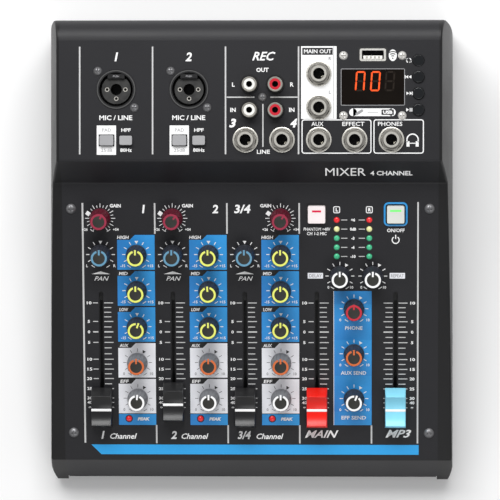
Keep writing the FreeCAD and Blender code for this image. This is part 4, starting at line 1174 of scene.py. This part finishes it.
def nutPiece():
    piece = standing(6, 5.75 * mm / math.cos(math.pi / 6), 0.6 * mm, 2.6 * mm)
    applied(piece, "BEVEL", width=0.25 * mm, segments=3, limit_method="ANGLE", angle_limit=math.radians(40))
    bpy.ops.mesh.primitive_cone_add(vertices=64, radius1=7.6 * mm, radius2=5.5 * mm, depth=2.0 * mm,
                                    location=(0, 0, 1.72 * mm))
    cone = bpy.context.object
    applied(piece, "BOOLEAN", operation="INTERSECT", object=cone, solver="EXACT")
    bpy.data.objects.remove(cone)
    bpy.ops.mesh.primitive_cylinder_add(vertices=48, radius=4.56 * mm, depth=0.01)
    bore = bpy.context.object
    applied(piece, "BOOLEAN", operation="DIFFERENCE", object=bore, solver="EXACT")
    bpy.data.objects.remove(bore)
    only(piece)
    bpy.ops.object.shade_smooth_by_angle(angle=math.radians(25))
    return piece


def leafPiece():  # bent spring contact that touches the plug
    piece = brick(0.25 * mm, 1.5 * mm, -2.5 * mm, 2.5 * mm)
    editOn()
    pickFaces(lambda middle, normal: normal.z > 0.9)
    for shift, rise in ((-0.5, 0.5), (-0.35, 0.15), (0.1, -0.4)):
        bpy.ops.mesh.extrude_region_move(TRANSFORM_OT_translate={"value": (shift * mm, 0, rise * mm)})
    editOff()
    return softEdges(piece, 0.06 * mm, 1)


masterWasher, masterNut, masterLeaf = washerPiece(), nutPiece(), leafPiece()
# dark flat ring on the washer round the nut: painted shadow of the gap under the nut
masterPaintedShadow = flatRing(6.25 * mm, 5.6 * mm, 0.55 * mm, 0.66 * mm)
jackNames = [name for name in mounts if name.endswith("_jack") and "pin" not in name]
jackNames += ["line_jack_left", "line_jack_right"]
for number, name in enumerate(jackNames):
    x, y = plugSpots[name]
    place = deckPlace @ Matrix.Translation((x * mm, y * mm, 0))
    washer = settle(copyOf(masterWasher), name + "_washer", place, fixed, finishes["nickel"])
    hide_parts("jack_nuts")
    turn = Matrix.Rotation(math.radians(9 * number + 4), 4, "Z")
    settle(copyOf(masterNut), name + "_nut", place @ turn, fixed, finishes["nutMetal"])
    settle(copyOf(masterPaintedShadow), name + "_lockRing", place, fixed, finishes["lockRing"])
    leafPlace = place @ Matrix.Rotation(math.radians(-40), 4, "Z") @ Matrix.Translation((3.0 * mm, 0, -4.5 * mm))
    settle(copyOf(masterLeaf), name + "_leaf", leafPlace, fixed, finishes["nickel"])
drop(masterWasher, masterNut, masterLeaf, masterPaintedShadow)
print("jacks made:", len(jackNames))


# combination jacks: grey ring laid on the raised rim as painted highlight, contact sleeves and the word on the catch

def comboTrim(channel, x):
    place = deckPlace @ Matrix.Translation((x * mm, comboY * mm, 0))
    low = -1.75 * mm
    sleeves = []
    for turn in (90, 180, 270):
        atX, atY = clockwise(0, 0, 5.2, turn)
        sleeve = flatRing(1.28 * mm, 0.8 * mm, low - 1.2 * mm, low - 0.1 * mm)
        sleeve.location = (atX * mm, atY * mm, 0)
        sleeves.append(sleeve)
    trim = joined(*sleeves)
    only(trim)
    bpy.ops.object.transform_apply(location=True, rotation=True, scale=True)
    settle(trim, f"combo_{channel}_sleeves", place, fixed, finishes["nickel"])
    rimHighlight = flatRing(11.0 * mm, 10.35 * mm, 0.38 * mm, 0.43 * mm)
    settle(rimHighlight, f"combo_{channel}_rimHighlight", place, fixed, finishes["comboRim"])
    mark = Printing(f"combo_{channel}_press", place @ Matrix.Translation((0, 0, 0.1 * mm)), "greyInk")
    mark.word("PUSH", 0, 7.5, 1.0, 0.02, 0.0, 3.4)
    mark.setDown("socket_plastic")


# mid grey ring on the black rim: painted highlight along the rim's edge
finishes["comboRim"] = mouldedPlastic("comboRimPlastic", tone(78, 78, 78), 0.3)
for channel, x in enumerate(comboX, 1):
    comboTrim(channel, x)


# square buttons: coloured bars, and the frame round the power button

def capBar(name, x, y, wide, finish):
    place = panelPlace @ Matrix.Translation((x * mm, y * mm, 3.4 * mm))
    bar = Printing("bar", Matrix(), "white")
    bar.bar(0, 0, wide, 1.15)
    piece = thickFlat(bar, -0.02 * mm, 0.05 * mm)
    settle(piece, name + "_bar", place, name, finishes[finish])


capBar("phantom_button", phantomX, buttonRow + 2.1, 5.2, "barRed")
capBar("power_button", powerX, buttonRow + 2.4, 6.4, "barGreen")
frameRing = Printing("bezel", panelPlace, "bezelBlue")
frameRing.outline(powerX - 6.3, buttonRow - 6.4, powerX + 6.3, buttonRow + 6.4, 1.1, 2.2)
bezel = thickFlat(frameRing, 0.0, 0.7 * mm)
softEdges(bezel, 0.2 * mm)
settle(bezel, "powerBezel", panelPlace, fixed, finishes["bezelBlue"])
# black outline round the phantom button: painted shadow in the gap round its cap
shadowGap = Printing("phantomEdge", panelPlace, "blackInk")
shadowGap.outline(phantomX - 5.5, buttonRow - 5.5, phantomX + 5.5, buttonRow + 5.5, 0.35, 1.0)
shadowGap.setDown()


# display digits, lit segments over the window

digitPrint = Printing("digitSegments", deckPlace @ Matrix.Translation((0, 0, 0.16 * mm)), "digitLit")
dimPrint = Printing("digitRest", deckPlace @ Matrix.Translation((0, 0, 0.16 * mm)), "digitOut")
digitSize = {"width": 5.5, "height": 11.4, "line": 0.95, "slant": 4.0}
digitSegments = {  # seven strokes: a place in half widths and half heights, and lying or standing
    "top": (0, 1, True),
    "middle": (0, 0, True),
    "bottom": (0, -1, True),
    "upperLeft": (-1, 0.5, False),
    "upperRight": (1, 0.5, False),
    "lowerLeft": (-1, -0.5, False),
    "lowerRight": (1, -0.5, False),
}


def digit(x, y, lit):
    reachX = (digitSize["width"] - digitSize["line"]) / 2
    reachY = (digitSize["height"] - digitSize["line"]) / 2
    for name, (across, up, lying) in digitSegments.items():
        layer = digitPrint if name in lit else dimPrint
        lean = up * reachY * math.tan(math.radians(digitSize["slant"]))
        spotX, spotY = x + across * reachX + lean, y + up * reachY
        length = (2 * reachX if lying else reachY) - 0.35 - 0.6 * digitSize["line"]
        turn = 90 if lying else digitSize["slant"]
        layer.bar(spotX, spotY, digitSize["line"], length, turn)
        for end in (-1, 1):
            step = end * length / 2
            tipX = spotX + step * math.sin(math.radians(turn))
            tipY = spotY + step * math.cos(math.radians(turn))
            layer.disc(tipX, tipY, digitSize["line"], digitSize["line"], 4, turn)


digit(63.2, 45.2, ("top", "upperLeft", "upperRight", "lowerLeft", "lowerRight"))
digit(71.8, 45.2, ("top", "upperLeft", "upperRight", "lowerLeft", "lowerRight", "bottom"))
digit(80.0, 45.2, ())
digitPrint.setDown("window_plastic")
dimPrint.setDown("window_plastic")
windowEdge = Printing("windowEdge", deckPlace, "greyInk", 1)
windowEdge.outline(52.35, 31.6, 88.35, 52.2, 0.35, 0.5)
windowEdge.setDown("window_plastic")
stickContacts = Printing("stickContacts", deckPlace @ Matrix.Translation((0, 0, -0.55 * mm)), "nickel")
for step in (-1.5, -0.5, 0.5, 1.5):
    stickContacts.bar(stickX + step * 2.3, stickY - 1.4, 1.2, 1.3)
stickContacts.setDown("bush_nickel")
print("player made")


# stage, light and camera

bpy.ops.mesh.primitive_plane_add(size=7)
floor = bpy.context.object
floor.name = "paleFloor"
paper = Shader("palePaper")
cloud = paper.noise(3.0, 2.0)
paper.set(Base_Color=paper.mix(cloud, (0.86, 0.86, 0.86, 1), (0.9, 0.9, 0.9, 1)), Roughness=0.9 + 0.05 * cloud)
floor.data.materials.append(paper.material)

scene = bpy.context.scene
scene.world = bpy.data.worlds.new("studio")
scene.world.use_nodes = True
sky = scene.world.node_tree.nodes
skyLinks = scene.world.node_tree.links
skySpot, skyUp, skyRamp = [sky.new("ShaderNode" + kind) for kind in ("TexCoord", "SeparateXYZ", "ValToRGB")]
skyLinks.new(skySpot.outputs["Generated"], skyUp.inputs[0])
skyLinks.new(skyUp.outputs["Z"], skyRamp.inputs[0])
skyLinks.new(skyRamp.outputs["Color"], sky["Background"].inputs["Color"])
skyRamp.color_ramp.elements[0].color = (1.0, 1.0, 1.0, 1)  # bright low down, darker overhead
skyRamp.color_ramp.elements[0].position = 0.45
skyRamp.color_ramp.elements[1].color = (0.22, 0.22, 0.23, 1)
skyRamp.color_ramp.elements[1].position = 0.97
sky["Background"].inputs["Strength"].default_value = 0.62
scene.view_settings.view_transform = "Standard"


def facing(place, aim, top=(0, 1, 0)):  # stands at place and looks at aim, with top upwards
    place, aim = Vector(place), Vector(aim)
    back = (place - aim).normalized()
    right = Vector(top).cross(back).normalized()
    up = back.cross(right)
    turned = Matrix((right, up, back)).transposed().to_4x4()
    return Matrix.Translation(place) @ turned


def softBox(name, place, aim, size, power):
    bpy.ops.object.light_add(type="AREA")
    lamp = bpy.context.object
    lamp.name = name
    lamp.data.shape = "RECTANGLE"
    lamp.data.size, lamp.data.size_y = size
    lamp.data.energy = power
    lamp.matrix_world = facing(place, aim)


softBox("rearBox", (-0.15, 1.0, 1.2), (0, 0, 0), (1.5, 0.6), 26)
softBox("frontBox", (0.35, -1.1, 1.5), (0, 0, 0), (1.2, 0.6), 6)

bpy.ops.object.camera_add()
camera = bpy.context.object
camera.matrix_world = facing((0.066, 0.0188, 2.145), (-0.0002, 0.0016, 0.045))
camera.data.sensor_width = 36
camera.data.lens = 36 * 2.1 / 0.2875
scene.camera = camera
